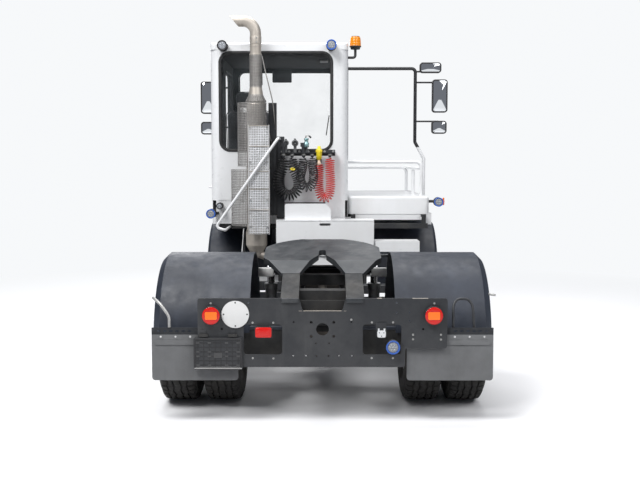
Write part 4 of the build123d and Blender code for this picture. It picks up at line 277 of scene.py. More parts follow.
def above(material, height, second):
    """Paint a material's part above a height in a second colour."""
    tree = material.node_tree
    shader = tree.nodes["Principled BSDF"]
    higher = math(tree, "GREATER_THAN", axis_value(tree, "Z"), height)
    feed(tree, shader, {"Base Color": blend_colours(tree, higher, painted(shader), second)})


def clear_glass(name, colour, alpha, rough=0.03):
    """A window pane: mostly see-through, with smears that roughen its gloss."""
    material, tree, shader = new_material(name)
    inputs = {
        "Roughness": between(tree, noise(tree, 5.0), 0.45, 0.75, rough, rough + 0.12),
        "Alpha": between(tree, noise(tree, 2.5, 5.0), 0.4, 0.8, alpha, alpha + 0.05),
        "Base Color": (*colour, 1),
        "IOR": 1.5,
    }
    feed(tree, shader, inputs)
    return material


def mirror_face(name):
    """A mirror's silvered glass, with faint smears."""
    material, tree, shader = new_material(name)
    smears = between(tree, noise(tree, 12.0), 0.5, 0.8, 0.02, 0.1)
    feed(tree, shader, {"Base Color": (0.78, 0.8, 0.82, 1), "Metallic": 1.0, "Roughness": smears})
    return material


def lens(name, colour, glow=0.0, rough=0.12, ribs=90.0, clear=0.25, band=None):
    """A moulded lamp lens with a fine lattice of ribs inside it.

    A band of (height, across, half height, half width, colour) is a window in a second colour.
    """
    material, tree, shader = new_material(name)
    lattice = lattice_of(tree, ribs)
    shown = blend_colours(tree, lattice, tuple(value * 0.55 for value in colour), colour)
    if band:
        height, across, half, reach, second = band
        rise = math(tree, "ABSOLUTE", math(tree, "SUBTRACT", axis_value(tree, "Z"), height))
        side = math(tree, "ABSOLUTE", axis_value(tree, "X"))
        side = math(tree, "ABSOLUTE", math(tree, "SUBTRACT", side, across))
        rise = math(tree, "SUBTRACT", rise, half)
        side = math(tree, "SUBTRACT", side, reach)
        away = math(tree, "SMOOTH_MAX", rise, side, 0.012)
        shown = blend_colours(tree, math(tree, "LESS_THAN", away, 0.0), shown, second)
        rim = math(tree, "COMPARE", away, 0.0, 0.0012)
        shown = blend_colours(tree, rim, shown, (0.25, 0.01, 0.01))
    inputs = {
        "Base Color": shown,
        "Roughness": rough,
        "Transmission Weight": clear,
        "Emission Strength": glow,
    }
    if glow:
        inputs["Emission Color"] = shown
    feed(tree, shader, inputs)
    bumped(tree, shader, lattice, 0.3, 0.0006)
    return material


def woven(name, colour, light, pitch):
    """Seat cloth: two crossed waves make the weave, and noise wears it."""
    material, tree, shader = new_material(name)
    weave = lattice_of(tree, 1 / pitch)
    clouds = between(tree, noise(tree, 6.0), 0.4, 0.8, 0.0, 0.5)
    worn = math(tree, "ADD", clouds, math(tree, "MULTIPLY", weave, 0.4))
    shade = blend_colours(tree, worn, colour, light)
    feed(tree, shader, {"Base Color": shade, "Roughness": 0.85, "Sheen Weight": 0.3})
    bumped(tree, shader, weave, 0.5, 0.0008)
    return material


def cab_paint(name, inside, rake):
    """White paint outside, dark trim and painted shade inside."""
    made = weathered(
        name, (0.83, 0.84, 0.85), (0.55, 0.54, 0.5), 0.1, 0.28, scale=1.4, dent=0.0002, coat=0.5
    )
    lined_and_shaded(made, inside, rake)
    return made


# The windscreen leans back from this height
RAKE_FOOT = 1.8
# Near black: the inside trim's colour, deepened to paint the shade inside the cab
INNER_TRIM_AND_SHADE = (0.016, 0.016, 0.018)

# The materials. Each row: name, colour, grime, grime's share, roughness, then metal, the clouds' scale,
# the grain's scale, dent and coat where they aren't the usual ones
WHITE = weathered(
    "white_paint", (0.82, 0.83, 0.84), (0.5, 0.48, 0.44), 0.16, 0.32, scale=2.2, dent=0.0002, coat=0.3
)
CAB_WHITE = cab_paint("cab_white", ((-1.075, 0.366, 1.2), (0.21, 2.452, 2.974)), 0.128)
CAB_SIDE = cab_paint("cab_side", ((-1.115, 0.3, 1.3), (0.252, 2.6, 2.974)), 0.0)
PLATE_BLACK = weathered("plate_black", (0.016, 0.018, 0.022), (0.075, 0.076, 0.078), 0.5, 0.5, scale=2.4)
FRAME_BLACK = weathered("frame_black", (0.012, 0.013, 0.015), (0.06, 0.056, 0.05), 0.55, 0.6, scale=4.0)
FENDER = weathered(
    "fender_plastic", (0.011, 0.015, 0.025), (0.044, 0.054, 0.077), 0.5, 0.46, scale=1.7, grain=260.0
)
GREASED = weathered(
    "greased_steel", (0.03, 0.034, 0.039), (0.1, 0.102, 0.105), 0.6, 0.45, 0.2, scale=7.0, dent=0.0012
)
CASTING = weathered("casting", (0.05, 0.05, 0.052), (0.14, 0.12, 0.1), 0.6, 0.65, 0.3, 6.0, dent=0.0015)
STAINLESS = weathered("stainless", (0.5, 0.46, 0.41), (0.27, 0.23, 0.19), 0.4, 0.46, 0.7, 4.5, dent=0.0004)
GUARD_STEEL = weathered("guard_steel", (0.3, 0.29, 0.28), (0.15, 0.14, 0.13), 0.5, 0.42, 0.6, 7.0)
PANEL_STEEL = weathered("panel_steel", (0.8, 0.81, 0.83), (0.46, 0.46, 0.46), 0.5, 0.4, 0.5, 9.0)
BRIGHT_STEEL = weathered("bright_steel", (0.78, 0.78, 0.78), (0.5, 0.48, 0.45), 0.25, 0.3, 0.6, 14.0)
ZINC = weathered("zinc", (0.46, 0.46, 0.45), (0.22, 0.21, 0.19), 0.4, 0.4, 0.8, 20.0)
CHROME = weathered("chrome_rod", (0.8, 0.81, 0.82), (0.5, 0.48, 0.45), 0.1, 0.08, 1.0, dent=0.00005)
RUBBER = weathered("rubber", (0.012, 0.012, 0.013), (0.06, 0.058, 0.055), 0.35, 0.6, scale=8.0)
FLAP_GREY = weathered("flap_rubber", (0.2, 0.205, 0.21), (0.1, 0.1, 0.1), 0.4, 0.75, scale=2.6)
above(FLAP_GREY, 0.64, (0.025, 0.027, 0.031))
TYRE = weathered(
    "tyre_rubber", (0.009, 0.009, 0.01), (0.045, 0.042, 0.038), 0.55, 0.8, 0.0, 7.0, grain=300.0, dent=0.0012
)
BARREL_GREY = weathered("barrel_grey", (0.4, 0.41, 0.42), (0.12, 0.12, 0.12), 0.6, 0.4, 0.5, 18.0)
HOOP = weathered("mirror_hoop", (0.8, 0.81, 0.82), (0.5, 0.49, 0.46), 0.2, 0.34, scale=9.0)
above(HOOP, 2.03, (0.014, 0.014, 0.016))
WORN_WHITE = weathered("worn_white", (0.88, 0.88, 0.87), (0.4, 0.39, 0.37), 0.35, 0.4, scale=16.0)
RIM_WHITE = weathered("rim_paint", (0.72, 0.72, 0.71), (0.3, 0.27, 0.23), 0.35, 0.4, scale=9.0)
TRIM = weathered("cab_trim", (0.018, 0.018, 0.02), (0.06, 0.06, 0.06), 0.25, 0.55, 0.0, 6.0, 420.0)
DARK_GREY = weathered("dark_grey", (0.06, 0.06, 0.062), (0.1, 0.1, 0.1), 0.3, 0.6, scale=12.0)
PALE_TRIM = weathered("pale_trim", (0.3, 0.3, 0.3), (0.18, 0.17, 0.16), 0.3, 0.6, scale=6.0)
LINE_BLACK = weathered("line_black", (0.016, 0.016, 0.018), (0.08, 0.08, 0.08), 0.25, 0.32, scale=20.0)
LINE_RED = weathered("line_red", (0.62, 0.035, 0.03), (0.35, 0.08, 0.06), 0.25, 0.3, scale=20.0)
YELLOW = weathered("yellow_cap", (0.85, 0.68, 0.02), (0.4, 0.32, 0.08), 0.2, 0.35, scale=20.0)
BLUE_RING = weathered("blue_ring", (0.03, 0.12, 0.5), (0.1, 0.14, 0.3), 0.15, 0.25, scale=20.0)
DISC_WHITE = weathered("disc_white", (0.86, 0.86, 0.85), (0.6, 0.59, 0.56), 0.12, 0.4, 0.0, 12.0, dent=0.0001)
ALLOY_TRIM = weathered("alloy_trim", (0.45, 0.45, 0.44), (0.25, 0.24, 0.23), 0.3, 0.4, 0.5, 20.0)
COUPLING = weathered("coupling_grey", (0.1, 0.105, 0.11), (0.3, 0.3, 0.29), 0.4, 0.4, 0.6, 30.0)
TEAL_METAL = weathered("valve_metal", (0.25, 0.42, 0.44), (0.4, 0.42, 0.4), 0.4, 0.3, 0.7, 30.0)
PALE_UNION = weathered("pale_union", (0.8, 0.6, 0.45), (0.5, 0.4, 0.3), 0.3, 0.4, scale=30.0)
CLOTH = woven("seat_cloth", (0.02, 0.021, 0.024), (0.09, 0.09, 0.1), 0.004)
GLASS = clear_glass("window_glass", (0.35, 0.4, 0.42), 0.012)
MIRROR = mirror_face("mirror_glass")
TAIL_WINDOW = (0.784, 0.785, 0.0285, 0.043, (0.9, 0.16, 0.01))
TAIL_LENS = lens("tail_lens", (0.8, 0.012, 0.008), 0.35, 0.2, clear=0.0, band=TAIL_WINDOW)
RED_LENS = lens("red_lens", (0.8, 0.01, 0.006), 0.35, 0.2, clear=0.0)
LED_GREY = lens("led_grey", (0.42, 0.44, 0.48), rough=0.2, ribs=150.0, clear=0.0)
ORANGE_LENS = lens("orange_lens", (0.95, 0.17, 0.01), 0.3, clear=0.0)
AMBER = lens("amber_dome", (0.95, 0.3, 0.01), 0.35, 0.18, 60.0, 0.0)
WHITE_LENS = lens("white_lens", (0.75, 0.8, 0.85), rough=0.08, ribs=120.0, clear=0.3)

# The record's slot that each material of an added piece stands for, unless the piece names another
SLOTS = {
    "black_paint": (FRAME_BLACK, PLATE_BLACK, TRIM, DARK_GREY),
    "bright_steel": (
        ALLOY_TRIM, BRIGHT_STEEL, CHROME, GUARD_STEEL, PANEL_STEEL, STAINLESS, TEAL_METAL, ZINC
    ),
    "cast_grey": (CASTING, COUPLING),
    "flap_rubber": (RUBBER,),
    "frame_paint": (GREASED,),
    "lamp_plastic": (
        AMBER, LED_GREY, ORANGE_LENS, PALE_TRIM, PALE_UNION, RED_LENS, TAIL_LENS, WHITE_LENS, YELLOW
    ),
    "seat_fabric": (CLOTH,),
    "tyre_rubber": (TYRE,),
    "white_paint": (DISC_WHITE, WHITE, WORN_WHITE),
    "window_glass": (MIRROR,),
}
SLOT_OF = {material.name: slot for slot, group in SLOTS.items() for material in group}


# Shapes as arrays


def grid_faces(rows, columns, wrap_rows=False, wrap_columns=False):
    """The quads of a grid of points, stored row by row."""
    row = np.arange(rows if wrap_rows else rows - 1)[:, None]
    column = np.arange(columns if wrap_columns else columns - 1)[None, :]
    below = (row + 1) % rows * columns
    beside = (column + 1) % columns
    row = row * columns
    corners = (row + column, row + beside, below + beside, below + column)
    return np.stack(np.broadcast_arrays(*corners), axis=-1).reshape(-1, 4)


def joined(shapes):
    """Several (points, faces) pairs as one pair."""
    points = [np.reshape(shape[0], (-1, 3)) for shape in shapes]
    starts = np.cumsum([0] + [len(each) for each in points[:-1]])
    faces = [np.asarray(shape[1]) + start for shape, start in zip(shapes, starts)]
    return np.concatenate(points), np.concatenate(faces)


def repeated(points, faces, offsets):
    """The same shape at each offset: its points plus the offset, its faces counted on."""
    points = np.reshape(points, (-1, 3))
    offsets = np.reshape(offsets, (-1, 3))
    placed = (offsets[:, None, :] + points[None, :, :]).reshape(-1, 3)
    counted = (np.arange(len(offsets))[:, None, None] * len(points) + np.asarray(faces)[None]).reshape(-1, 4)
    return placed, counted


def put(name, shape, material, body="chassis", smooth=True, slot=None, closed=True):
    """Make a piece from (points, faces), point its faces outwards and let it ride on its body."""
    points, faces = shape
    mesh = bpy.data.meshes.new(name)
    mesh.from_pydata(np.reshape(points, (-1, 3)).tolist(), [], np.asarray(faces).tolist())
    if closed:
        form = bmesh.new()
        form.from_mesh(mesh)
        bmesh.ops.remove_doubles(form, verts=form.verts, dist=1e-5)
        bmesh.ops.recalc_face_normals(form, faces=form.faces)
        form.to_mesh(mesh)
        form.free()
    mesh.polygons.foreach_set("use_smooth", np.full(len(mesh.polygons), smooth))
    mesh.materials.append(material)
    piece = linked(name, mesh)
    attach(piece, body)
    slot = slot or SLOT_OF.get(material.name)
    return piece


def bevelled(piece, width, segments=2):
    """Round a piece's edges that turn by more than 30 degrees."""
    change = piece.modifiers.new("bevel", "BEVEL")
    change.width = width
    change.segments = segments
    change.limit_method = "ANGLE"
    return piece


def thickened(piece, thickness, offset=0.0):
    """Give a sheet its thickness."""
    change = piece.modifiers.new("wall", "SOLIDIFY")
    change.thickness = thickness
    change.offset = offset
    return piece


def slab(low, high):
    """A box between two corners: every mix of low and high on the three axes."""
    low = np.asarray(low, dtype=float)
    high = np.asarray(high, dtype=float)
    bits = np.stack(np.meshgrid([0, 1], [0, 1], [0, 1], indexing="ij"), axis=-1).reshape(-1, 3)
    faces = np.array(((0, 1, 3, 2), (4, 6, 7, 5), (0, 4, 5, 1), (2, 3, 7, 6), (0, 2, 6, 4), (1, 5, 7, 3)))
    return low + bits * (high - low), faces


def frame_of(way):
    """Three unit vectors, the last along way."""
    way = unit(np.asarray(way, dtype=float))
    side = unit(np.cross(UP if abs(way[2]) < 0.9 else (1.0, 0.0, 0.0), way))
    return side, np.cross(way, side), way


def turned(profile, centre, way, steps=48, ends=True):
    """A surface of revolution: at each angle, centre + along * way + radius * (cos side + sin up).

    A profile row is (along, radius). With ends, the first and last rows close onto the axis.
    """
    profile = np.asarray(profile, dtype=float)
    if ends:
        tips = profile[[0, -1]] * (1, 0) + (0, 1e-5)
        profile = np.concatenate((tips[:1], profile, tips[1:]))
    side, up, along = frame_of(way)
    angle = np.arange(steps) * TURN / steps
    ring = np.cos(angle)[:, None] * side + np.sin(angle)[:, None] * up
    points = np.asarray(centre) + profile[:, 0, None, None] * along + profile[:, 1, None, None] * ring[None]
    return points, grid_faces(len(profile), steps, wrap_columns=True)


def smooth_path(corners, bend, steps=8):
    """A path through corners whose turns are rounded by quadratic curves that start bend before each."""
    corners = np.asarray(corners, dtype=float)
    share = np.linspace(0, 1, steps)[:, None]
    stretches = [corners[:1]]
    for before, here, after in zip(corners, corners[1:], corners[2:]):
        start = here + (before - here) * min(0.49, bend / np.linalg.norm(before - here))
        end = here + (after - here) * min(0.49, bend / np.linalg.norm(after - here))
        stretches.append((1 - share) ** 2 * start + 2 * share * (1 - share) * here + share**2 * end)
    stretches.append(corners[-1:])
    return np.concatenate(stretches)


def unit(vectors):
    """Vectors scaled to length 1."""
    return vectors / np.linalg.norm(vectors, axis=-1, keepdims=True)


def swept(path, radius, steps=14, reference=FORWARD):
    """A round bar: at each path point, the point + radius * (cos side + sin up), closed at both ends.

    Side is square to the path and to a reference direction that the path never follows.
    """
    path = np.asarray(path, dtype=float)
    way = unit(np.gradient(path, axis=0))
    side = unit(np.cross(way, reference))
    ends = np.r_[0, np.arange(len(path)), len(path) - 1]
    side, up, path = side[ends], np.cross(side, way)[ends], path[ends]
    radius = np.where(np.isin(np.arange(len(path)), (0, len(path) - 1)), 1e-5, radius)
    angle = np.arange(steps) * TURN / steps
    ring = np.cos(angle)[None, :, None] * side[:, None] + np.sin(angle)[None, :, None] * up[:, None]
    points = path[:, None] + radius[:, None, None] * ring
    return points, grid_faces(len(path), steps, wrap_columns=True)


def hex_heads(centres, way, radius, height):
    """Six-sided heads on round washers at each centre: rings that narrow to a chamfered top."""
    washer = turned(((0, radius * 1.5), (height * 0.2, radius * 1.5)), (0, 0, 0), way, 12)
    head = turned(((0, radius), (height * 0.85, radius), (height, radius * 0.84)), (0, 0, 0), way, 6)
    return repeated(*joined((washer, head)), centres)


def put_heads(name, centres, way, radius, height, material=ZINC, body="chassis"):
    """Bolt heads as one piece with flat faces."""
    put(name, hex_heads(centres, way, radius, height), material, body, smooth=False)


def put_boxes(name, boxes, material, slot=None):
    """Boxes of (low, high) corners as one piece with flat faces."""
    put(name, joined([slab(*box) for box in boxes]), material, smooth=False, slot=slot)


def put_block(name, low, high, material, width, segments=2, body="chassis"):
    """One box with rounded edges."""
    bevelled(put(name, slab(low, high), material, body), width, segments)


# Curly lines between the rack and their parking sockets. The routes are listed in metres

# Each row: name, material, coil's outer radius, cord's diameter, turns, length, route
CURLY_LINES = (
    ("line_black_large", LINE_BLACK, 0.056, 0.011, 36, 10.87, (
        (-0.3, 0.15, 1.905), (-0.3, 0.15, 1.815), (-0.232, 0.142, 1.7),
        (-0.238, 0.138, 1.575), (-0.335, 0.134, 1.514), (-0.428, 0.136, 1.595),
        (-0.432, 0.142, 1.715), (-0.385, 0.15, 1.815), (-0.385, 0.15, 1.905),
    )),
    ("line_black_small", LINE_BLACK, 0.046, 0.01, 30, 7.37, (
        (-0.1, 0.15, 1.905), (-0.1, 0.14, 1.825), (-0.082, 0.072, 1.735),
        (-0.1, 0.038, 1.628), (-0.163, 0.032, 1.6), (-0.228, 0.04, 1.69),
        (-0.19, 0.14, 1.815), (-0.186, 0.15, 1.905),
    )),
    ("line_red", LINE_RED, 0.049, 0.009, 38, 10.11, (
        (-0.034, 0.15, 1.85), (-0.034, 0.146, 1.745), (-0.04, 0.14, 1.62),
        (-0.014, 0.134, 1.506), (0.052, 0.136, 1.496), (0.082, 0.142, 1.6),
        (0.076, 0.148, 1.73), (0.072, 0.15, 1.82), (0.072, 0.15, 1.905),
    )),
)
POINTS_PER_TURN = 16
COIL_EASE = 0.035


def nurbs_curve(name, points, bevel=0.0, resolution=12):
    """An open NURBS curve of order 3 that reaches its first and last points."""
    data = bpy.data.curves.new(name, "CURVE")
    data.dimensions = "3D"
    data.bevel_depth = bevel
    data.bevel_resolution = 3
    data.use_fill_caps = True
    spline = data.splines.new("NURBS")
    spline.points.add(len(points) - 1)
    spline.points.foreach_set("co", np.c_[points, np.ones(len(points))].ravel())
    spline.order_u = 3
    spline.use_endpoint_u = True
    spline.resolution_u = resolution
    return linked(name, data)


def coordinates(mesh):
    """A mesh's points as an array."""
    points = np.empty(len(mesh.vertices) * 3)
    mesh.vertices.foreach_get("co", points)
    return points.reshape(-1, 3)


def evaluated(piece):
    """A piece as its modifiers or its spline make it."""
    bpy.context.view_layer.update()
    return piece.evaluated_get(bpy.context.evaluated_depsgraph_get())


def spline_points(points, count):
    """Evenly spaced points read from the smooth line of a route's NURBS spline."""
    route = nurbs_curve("route", points, resolution=32)
    line = bpy.data.meshes.new_from_object(evaluated(route))
    read = coordinates(line)
    bpy.data.meshes.remove(line)
    data = route.data
    bpy.data.objects.remove(route)
    bpy.data.curves.remove(data)
    run = np.r_[0, np.cumsum(np.linalg.norm(np.diff(read, axis=0), axis=1))]
    even = np.linspace(0, run[-1], count)
    return np.stack([np.interp(even, run, read[:, axis]) for axis in range(3)], axis=1)


def add_curly_lines():
    """Each line is a helix round its route: centre + r * (cos(turn) side + sin(turn) up).

    r grows from nothing at the sockets to the coil's radius over COIL_EASE of the length.
    """
    for name, material, outer, diameter, turns, length, route in CURLY_LINES:
        centre = spline_points(route, turns * POINTS_PER_TURN + 1)
        way = np.gradient(centre, axis=0)
        side = unit(np.cross(way, FORWARD))
        up = np.cross(side, unit(way))
        share = np.linspace(0, 1, len(centre))
        ease = np.clip(np.minimum(share, 1 - share) / COIL_EASE, 0, 1)
        radius = (outer - diameter / 2) * ease * ease * (3 - 2 * ease)
        turn = share * turns * TURN
        points = centre + radius[:, None] * (np.cos(turn)[:, None] * side + np.sin(turn)[:, None] * up)
        measured = np.linalg.norm(np.diff(points, axis=0), axis=1).sum()
        print(name, "length", round(measured, 3))
        piece = nurbs_curve(f"{name}_curly", points, diameter / 2, 4)
        piece.data.materials.append(material)
        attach(piece, "chassis")
        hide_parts(name)


# The CAD nodes that stay, by material

NODE_MATERIALS = (
    (BARREL_GREY, "lift_barrels"),
    (CAB_SIDE, "cab_door cab_left cab_right"),
    (CAB_WHITE, "cab_back cab_front cab_roof"),
    (CASTING, "drive_line front_axle knuckle_left knuckle_right rear_axle"),
    (CHROME, "lift_rods"),
    (FENDER, "front_fender_left front_fender_right rear_fender_left rear_fender_right"),
    (FLAP_GREY, "mudflaps"),
    (FRAME_BLACK, "cab_subframe chassis_frame lift_boom"),
    (GLASS, "cab_glass door_glass"),
    (GREASED, "fifth_wheel"),
    (HOOP, "mirror_frame"),
    (PLATE_BLACK, "line_rack rear_fittings rear_plate side_tanks"),
    (RIM_WHITE, "front_rim_left front_rim_right rear_rim_left rear_rim_right"),
    (STAINLESS, "exhaust_stack"),
    (TRIM, "cab_floor dashboard lamps mirror_heads rear_lamps seat_base steering_wheel"),
    (WHITE, "box_flap engine_hood equipment_box front_bumper grab_rail hood_rail nose_panel side_steps"),
    (ZINC, "tie_rod"),
)


def paint_nodes():
    """Give each node that stays its material."""
    for material, names in NODE_MATERIALS:
        for name in names.split():
            for slot in nodes[name].material_slots:
                slot.material = material


# Tyres

# Each row: axle's place along, tyres' middles across, body
TYRES = {
    "rear_tyre_left": (-1.83, (-1.0925, -0.7575), "wheel_rear_left"),
    "rear_tyre_right": (-1.83, (0.7575, 1.0925), "wheel_rear_right"),
    "front_tyre_left": (1.27, (-1.01,), "wheel_front_left"),
    "front_tyre_right": (1.27, (1.01,), "wheel_front_right"),
}
AXLE_HEIGHT = 0.525
TREAD_PITCHES = 54
ZIGZAG = 0.005
# The tread's half section from the middle. Each row: distance from the middle, radius, how far the
# zigzag moves it, how deep the cross slots cut it
TREAD = (
    (0.0, 0.525, 0.0, 0.0), (0.018, 0.5249, 0.6, 0.002), (0.0215, 0.5244, 1.0, 0.003),
    (0.023, 0.512, 1.0, 0.0), (0.033, 0.512, 1.0, 0.0), (0.0345, 0.5243, 1.0, 0.003),
    (0.038, 0.5248, 0.6, 0.002), (0.064, 0.524, -0.6, 0.002), (0.0675, 0.5234, -1.0, 0.003),
    (0.069, 0.511, -1.0, 0.0), (0.079, 0.5105, -1.0, 0.0), (0.0805, 0.5222, -1.0, 0.009),
    (0.084, 0.5226, -0.6, 0.011), (0.108, 0.52, 0.0, 0.011), (0.118, 0.515, 0.0, 0.01),
    (0.1255, 0.504, 0.0, 0.007),
)
# The side wall down to the bead, as (distance from the middle, radius)
SIDE_WALL = (
    (0.13, 0.49), (0.1345, 0.476), (0.135, 0.4735), (0.1385, 0.4725), (0.14, 0.456),
    (0.1424, 0.43), (0.143, 0.405), (0.1418, 0.385), (0.1392, 0.37), (0.1396, 0.368),
    (0.137, 0.364), (0.13, 0.345), (0.1245, 0.336), (0.1262, 0.333), (0.1195, 0.324),
    (0.112, 0.31), (0.107, 0.3), (0.105, 0.2862),
)


def tyre(centre_x, centre_y):
    """One tyre: a ring of sections, radius by angle and place across.

    A zigzag with one turn a pitch shifts the grooves sideways, and a slot at each pitch lowers the
    shoulders.
    """
    half = np.concatenate((TREAD, np.pad(SIDE_WALL, ((0, 0), (0, 2)))))
    section = np.concatenate((half[:0:-1] * (-1, 1, 1, 1), half))
    share = np.array((0.0, 0.08, 0.11, 0.25, 0.28, 0.64))
    slotted = np.tile((0, 0, 1, 1, 0, 0), TREAD_PITCHES)
    turn = (np.arange(TREAD_PITCHES)[:, None] + share).ravel()
    zigzag = np.abs((turn + 0.68) % 2 - 1) * 2 - 1
    angle = turn * TURN / TREAD_PITCHES
    across = section[:, 0] + ZIGZAG * zigzag[:, None] * section[:, 2]
    radius = section[:, 1] - slotted[:, None] * section[:, 3]
    along = centre_y + radius * np.cos(angle)[:, None]
    height = AXLE_HEIGHT + radius * np.sin(angle)[:, None]
    points = np.stack((centre_x + across, along, height), axis=-1)
    return points, grid_faces(len(angle), len(section), True, True)


def add_tyres():
    """Treaded tyres in place of the plain ones, their edges kept crisp."""
    for name, (y, centres, body) in TYRES.items():
        piece = put(f"{name}_treaded", joined([tyre(x, y) for x in centres]), TYRE, body)
        piece.data.set_sharp_from_angle(angle=np.radians(35))
        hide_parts(name)


# Wheel nuts, hub caps and valves

# Each row: body, side, axle's place, disc's face, hub's flange, hub's end
WHEELS = (
    ("wheel_front_left", -1, 1.27, 1.07, 1.114, 1.128),
    ("wheel_front_right", 1, 1.27, 1.07, 1.114, 1.128),
    ("wheel_rear_left", -1, -1.83, 1.046, 1.163, 1.189),
    ("wheel_rear_right", 1, -1.83, 1.046, 1.163, 1.189),
)
HUB_CAP = ((-0.01, 0.062), (0.0, 0.064), (0.004, 0.061), (0.012, 0.052), (0.017, 0.036), (0.019, 0.0))
# The valve's stem, as (out from the disc's face, along from the axle)
VALVE = ((-0.01, 0.215), (0.018, 0.232), (0.052, 0.236))


def around(radius, count, x, y):
    """Places on a circle about an axle: (x, y + r cos, axle's height + r sin)."""
    angle = np.arange(count) * TURN / count
    height = AXLE_HEIGHT + radius * np.sin(angle)
    return np.stack((np.full(count, x), y + radius * np.cos(angle), height), axis=-1)


def add_wheel_fittings():
    """Nuts on the studs, bolts and a domed cap on the hub, and a valve beside it."""
    for body, side, y, face, flange, tip in WHEELS:
        way = (side, 0.0, 0.0)
        put_heads(f"{body}_nuts", around(0.1675, 10, side * face, y), way, 0.0165, 0.024, body=body)
        put_heads(f"{body}_hub_bolts", around(0.088, 8, side * flange, y), way, 0.0062, 0.006, body=body)
        put(f"{body}_hub_cap", turned(HUB_CAP, (side * tip, y, AXLE_HEIGHT), way), CASTING, body)
        stem = [(side * (face + out), y + along, AXLE_HEIGHT) for out, along in VALVE]
        put(f"{body}_valve", swept(smooth_path(stem, 0.02), 0.005, 10), ALLOY_TRIM, body)


# Rings and strips


def rounded_loop(u0, u1, v0, v1, radius, steps=8):
    """A closed rounded rectangle: four arcs, each its corner's centre + radius * (cos, sin)."""
    left, right, low, high = u0 + radius, u1 - radius, v0 + radius, v1 - radius
    corner = np.array(((right, high), (left, high), (left, low), (right, low)))
    quarter = np.linspace(0, TURN / 4, steps)
    angle = quarter[None, :] + np.arange(4)[:, None] * TURN / 4
    arc = np.stack((np.cos(angle), np.sin(angle)), axis=-1)
    outline = (corner[:, None] + radius * arc).reshape(-1, 2)
    return outline, arc.reshape(-1, 2)


def framed(loop, profile, place):
    """A profile of (out, proud) carried round a rounded rectangle: loop + out * its outward direction.

    Place turns (u, v, proud) arrays into points.
    """
    outline, outward = loop
    profile = np.asarray(profile, dtype=float)
    flat = outline[:, None] + profile[None, :, 0, None] * outward[:, None]
    proud = np.broadcast_to(profile[None, :, 1], flat.shape[:2])
    return place(flat[..., 0], flat[..., 1], proud), grid_faces(len(outline), len(profile), True, True)


def capped(loop, profile, place):
    """A pad on a rounded rectangle, closed at the middle of its back and its front.

    Profile rows of (out, proud) run from the back's edge to the front's, each loop + out * its
    outward direction.
    """
    outline, outward = loop
    profile = np.asarray(profile, dtype=float)
    flat = outline[None] + profile[:, 0, None, None] * outward[None]
    middle = np.broadcast_to(outline.mean(axis=0), (1, *outline.shape))
    flat = np.concatenate((middle, flat, middle))
    height = np.concatenate((profile[:1, 1], profile[:, 1], profile[-1:, 1]))
    proud = np.broadcast_to(height[:, None], flat.shape[:2])
    return place(flat[..., 0], flat[..., 1], proud), grid_faces(len(flat), len(outline), wrap_columns=True)


def facing_back(y):
    """Puts a flat drawing on a plane seen from behind: u across, v up, proud towards the rear."""
    return lambda u, v, proud: np.stack((u, y - proud, v), axis=-1)


def facing_side(x, side):
    """Puts a flat drawing on a side: u along, v up, proud outwards."""
    return lambda u, v, proud: np.stack((x + side * proud, u, v), axis=-1)


# The windscreen's foot, and how far its slope runs back and up
SCREEN_FOOT = (2.5, 1.8)
SCREEN_RUN = np.array((-0.15, 1.171))


def on_screen(u, v, proud):
    """Puts a flat drawing on the raked front: u across, v up the slope, proud towards the front."""
    rise = SCREEN_RUN / np.hypot(*SCREEN_RUN)
    y, z = SCREEN_FOOT
    return np.stack((u, y + v * rise[0] + proud * rise[1], z + v * rise[1] - proud * rise[0]), axis=-1)


GASKET = ((-0.016, -0.004), (-0.016, 0.004), (-0.008, 0.009), (0.008, 0.009), (0.014, 0.005), (0.014, -0.004))
# Each row: name, loop (from, to, low, high, corner radius, steps), face, body
WINDOWS = (
    ("rear_window", (-1.021, 0.092, 1.975, 2.944, 0.1, 12), facing_back(0.32), "chassis"),
    ("right_window", (0.65, 2.19, 1.88, 2.876, 0.09), facing_side(0.256, 1), "chassis"),
    ("quarter_window", (1.4, 2.19, 1.88, 2.876, 0.09), facing_side(-1.12, -1), "chassis"),
    ("door_window", (0.56, 1.2, 1.7, 2.876, 0.08), facing_side(-1.12, -1), "door"),
    ("windscreen", (-1.01, 0.146, 0.09, 1.146, 0.08), on_screen, "chassis"),
)


def add_gaskets():
    """Rubber seals round the cab's windows."""
    for name, loop, place, body in WINDOWS:
        put(f"{name}_gasket", framed(rounded_loop(*loop), GASKET, place), RUBBER, body)


# Perforated guards round the silencer

HOLE_PITCH = 0.016
HOLE_RADIUS = 0.0058
STACK = (-0.65, 0.11)
# Each row: middle across, radius, low, high
GUARDS = ((-0.689, 0.14, 1.82, 2.43), (-0.705, 0.189, 1.243, 1.785))
# The guards' edges stop this far in front of their middle
GUARD_STOP = 0.03


def perforated(u_count, v_count, surface, hole=HOLE_RADIUS / HOLE_PITCH):
    """A sheet of square cells, each a frame round an eight-sided hole, laid on a surface of (u, v).

    Cell corners and edge middles sit at whole and half steps; each hole corner is hole * (cos, sin)
    from the middle.
    """
    angle = np.arange(8) * TURN / 8 + TURN / 8
    edge = np.sign(np.round(np.stack((np.cos(angle), np.sin(angle)), axis=-1), 6)) * 0.5
    rim = hole * np.stack((np.cos(angle), np.sin(angle)), axis=-1)
    cell = np.concatenate((edge, rim)) + 0.5
    column, row = np.meshgrid(np.arange(u_count), np.arange(v_count), indexing="ij")
    start = np.stack((column, row), axis=-1).reshape(-1, 1, 2)
    spots = (start + cell[None]) / (u_count, v_count)
    near = np.arange(8)
    quads = np.stack((near, (near + 1) % 8, (near + 1) % 8 + 8, near + 8), axis=-1)
    faces = (np.arange(len(start))[:, None, None] * 16 + quads).reshape(-1, 4)
    return surface(spots[..., 0], spots[..., 1]), faces


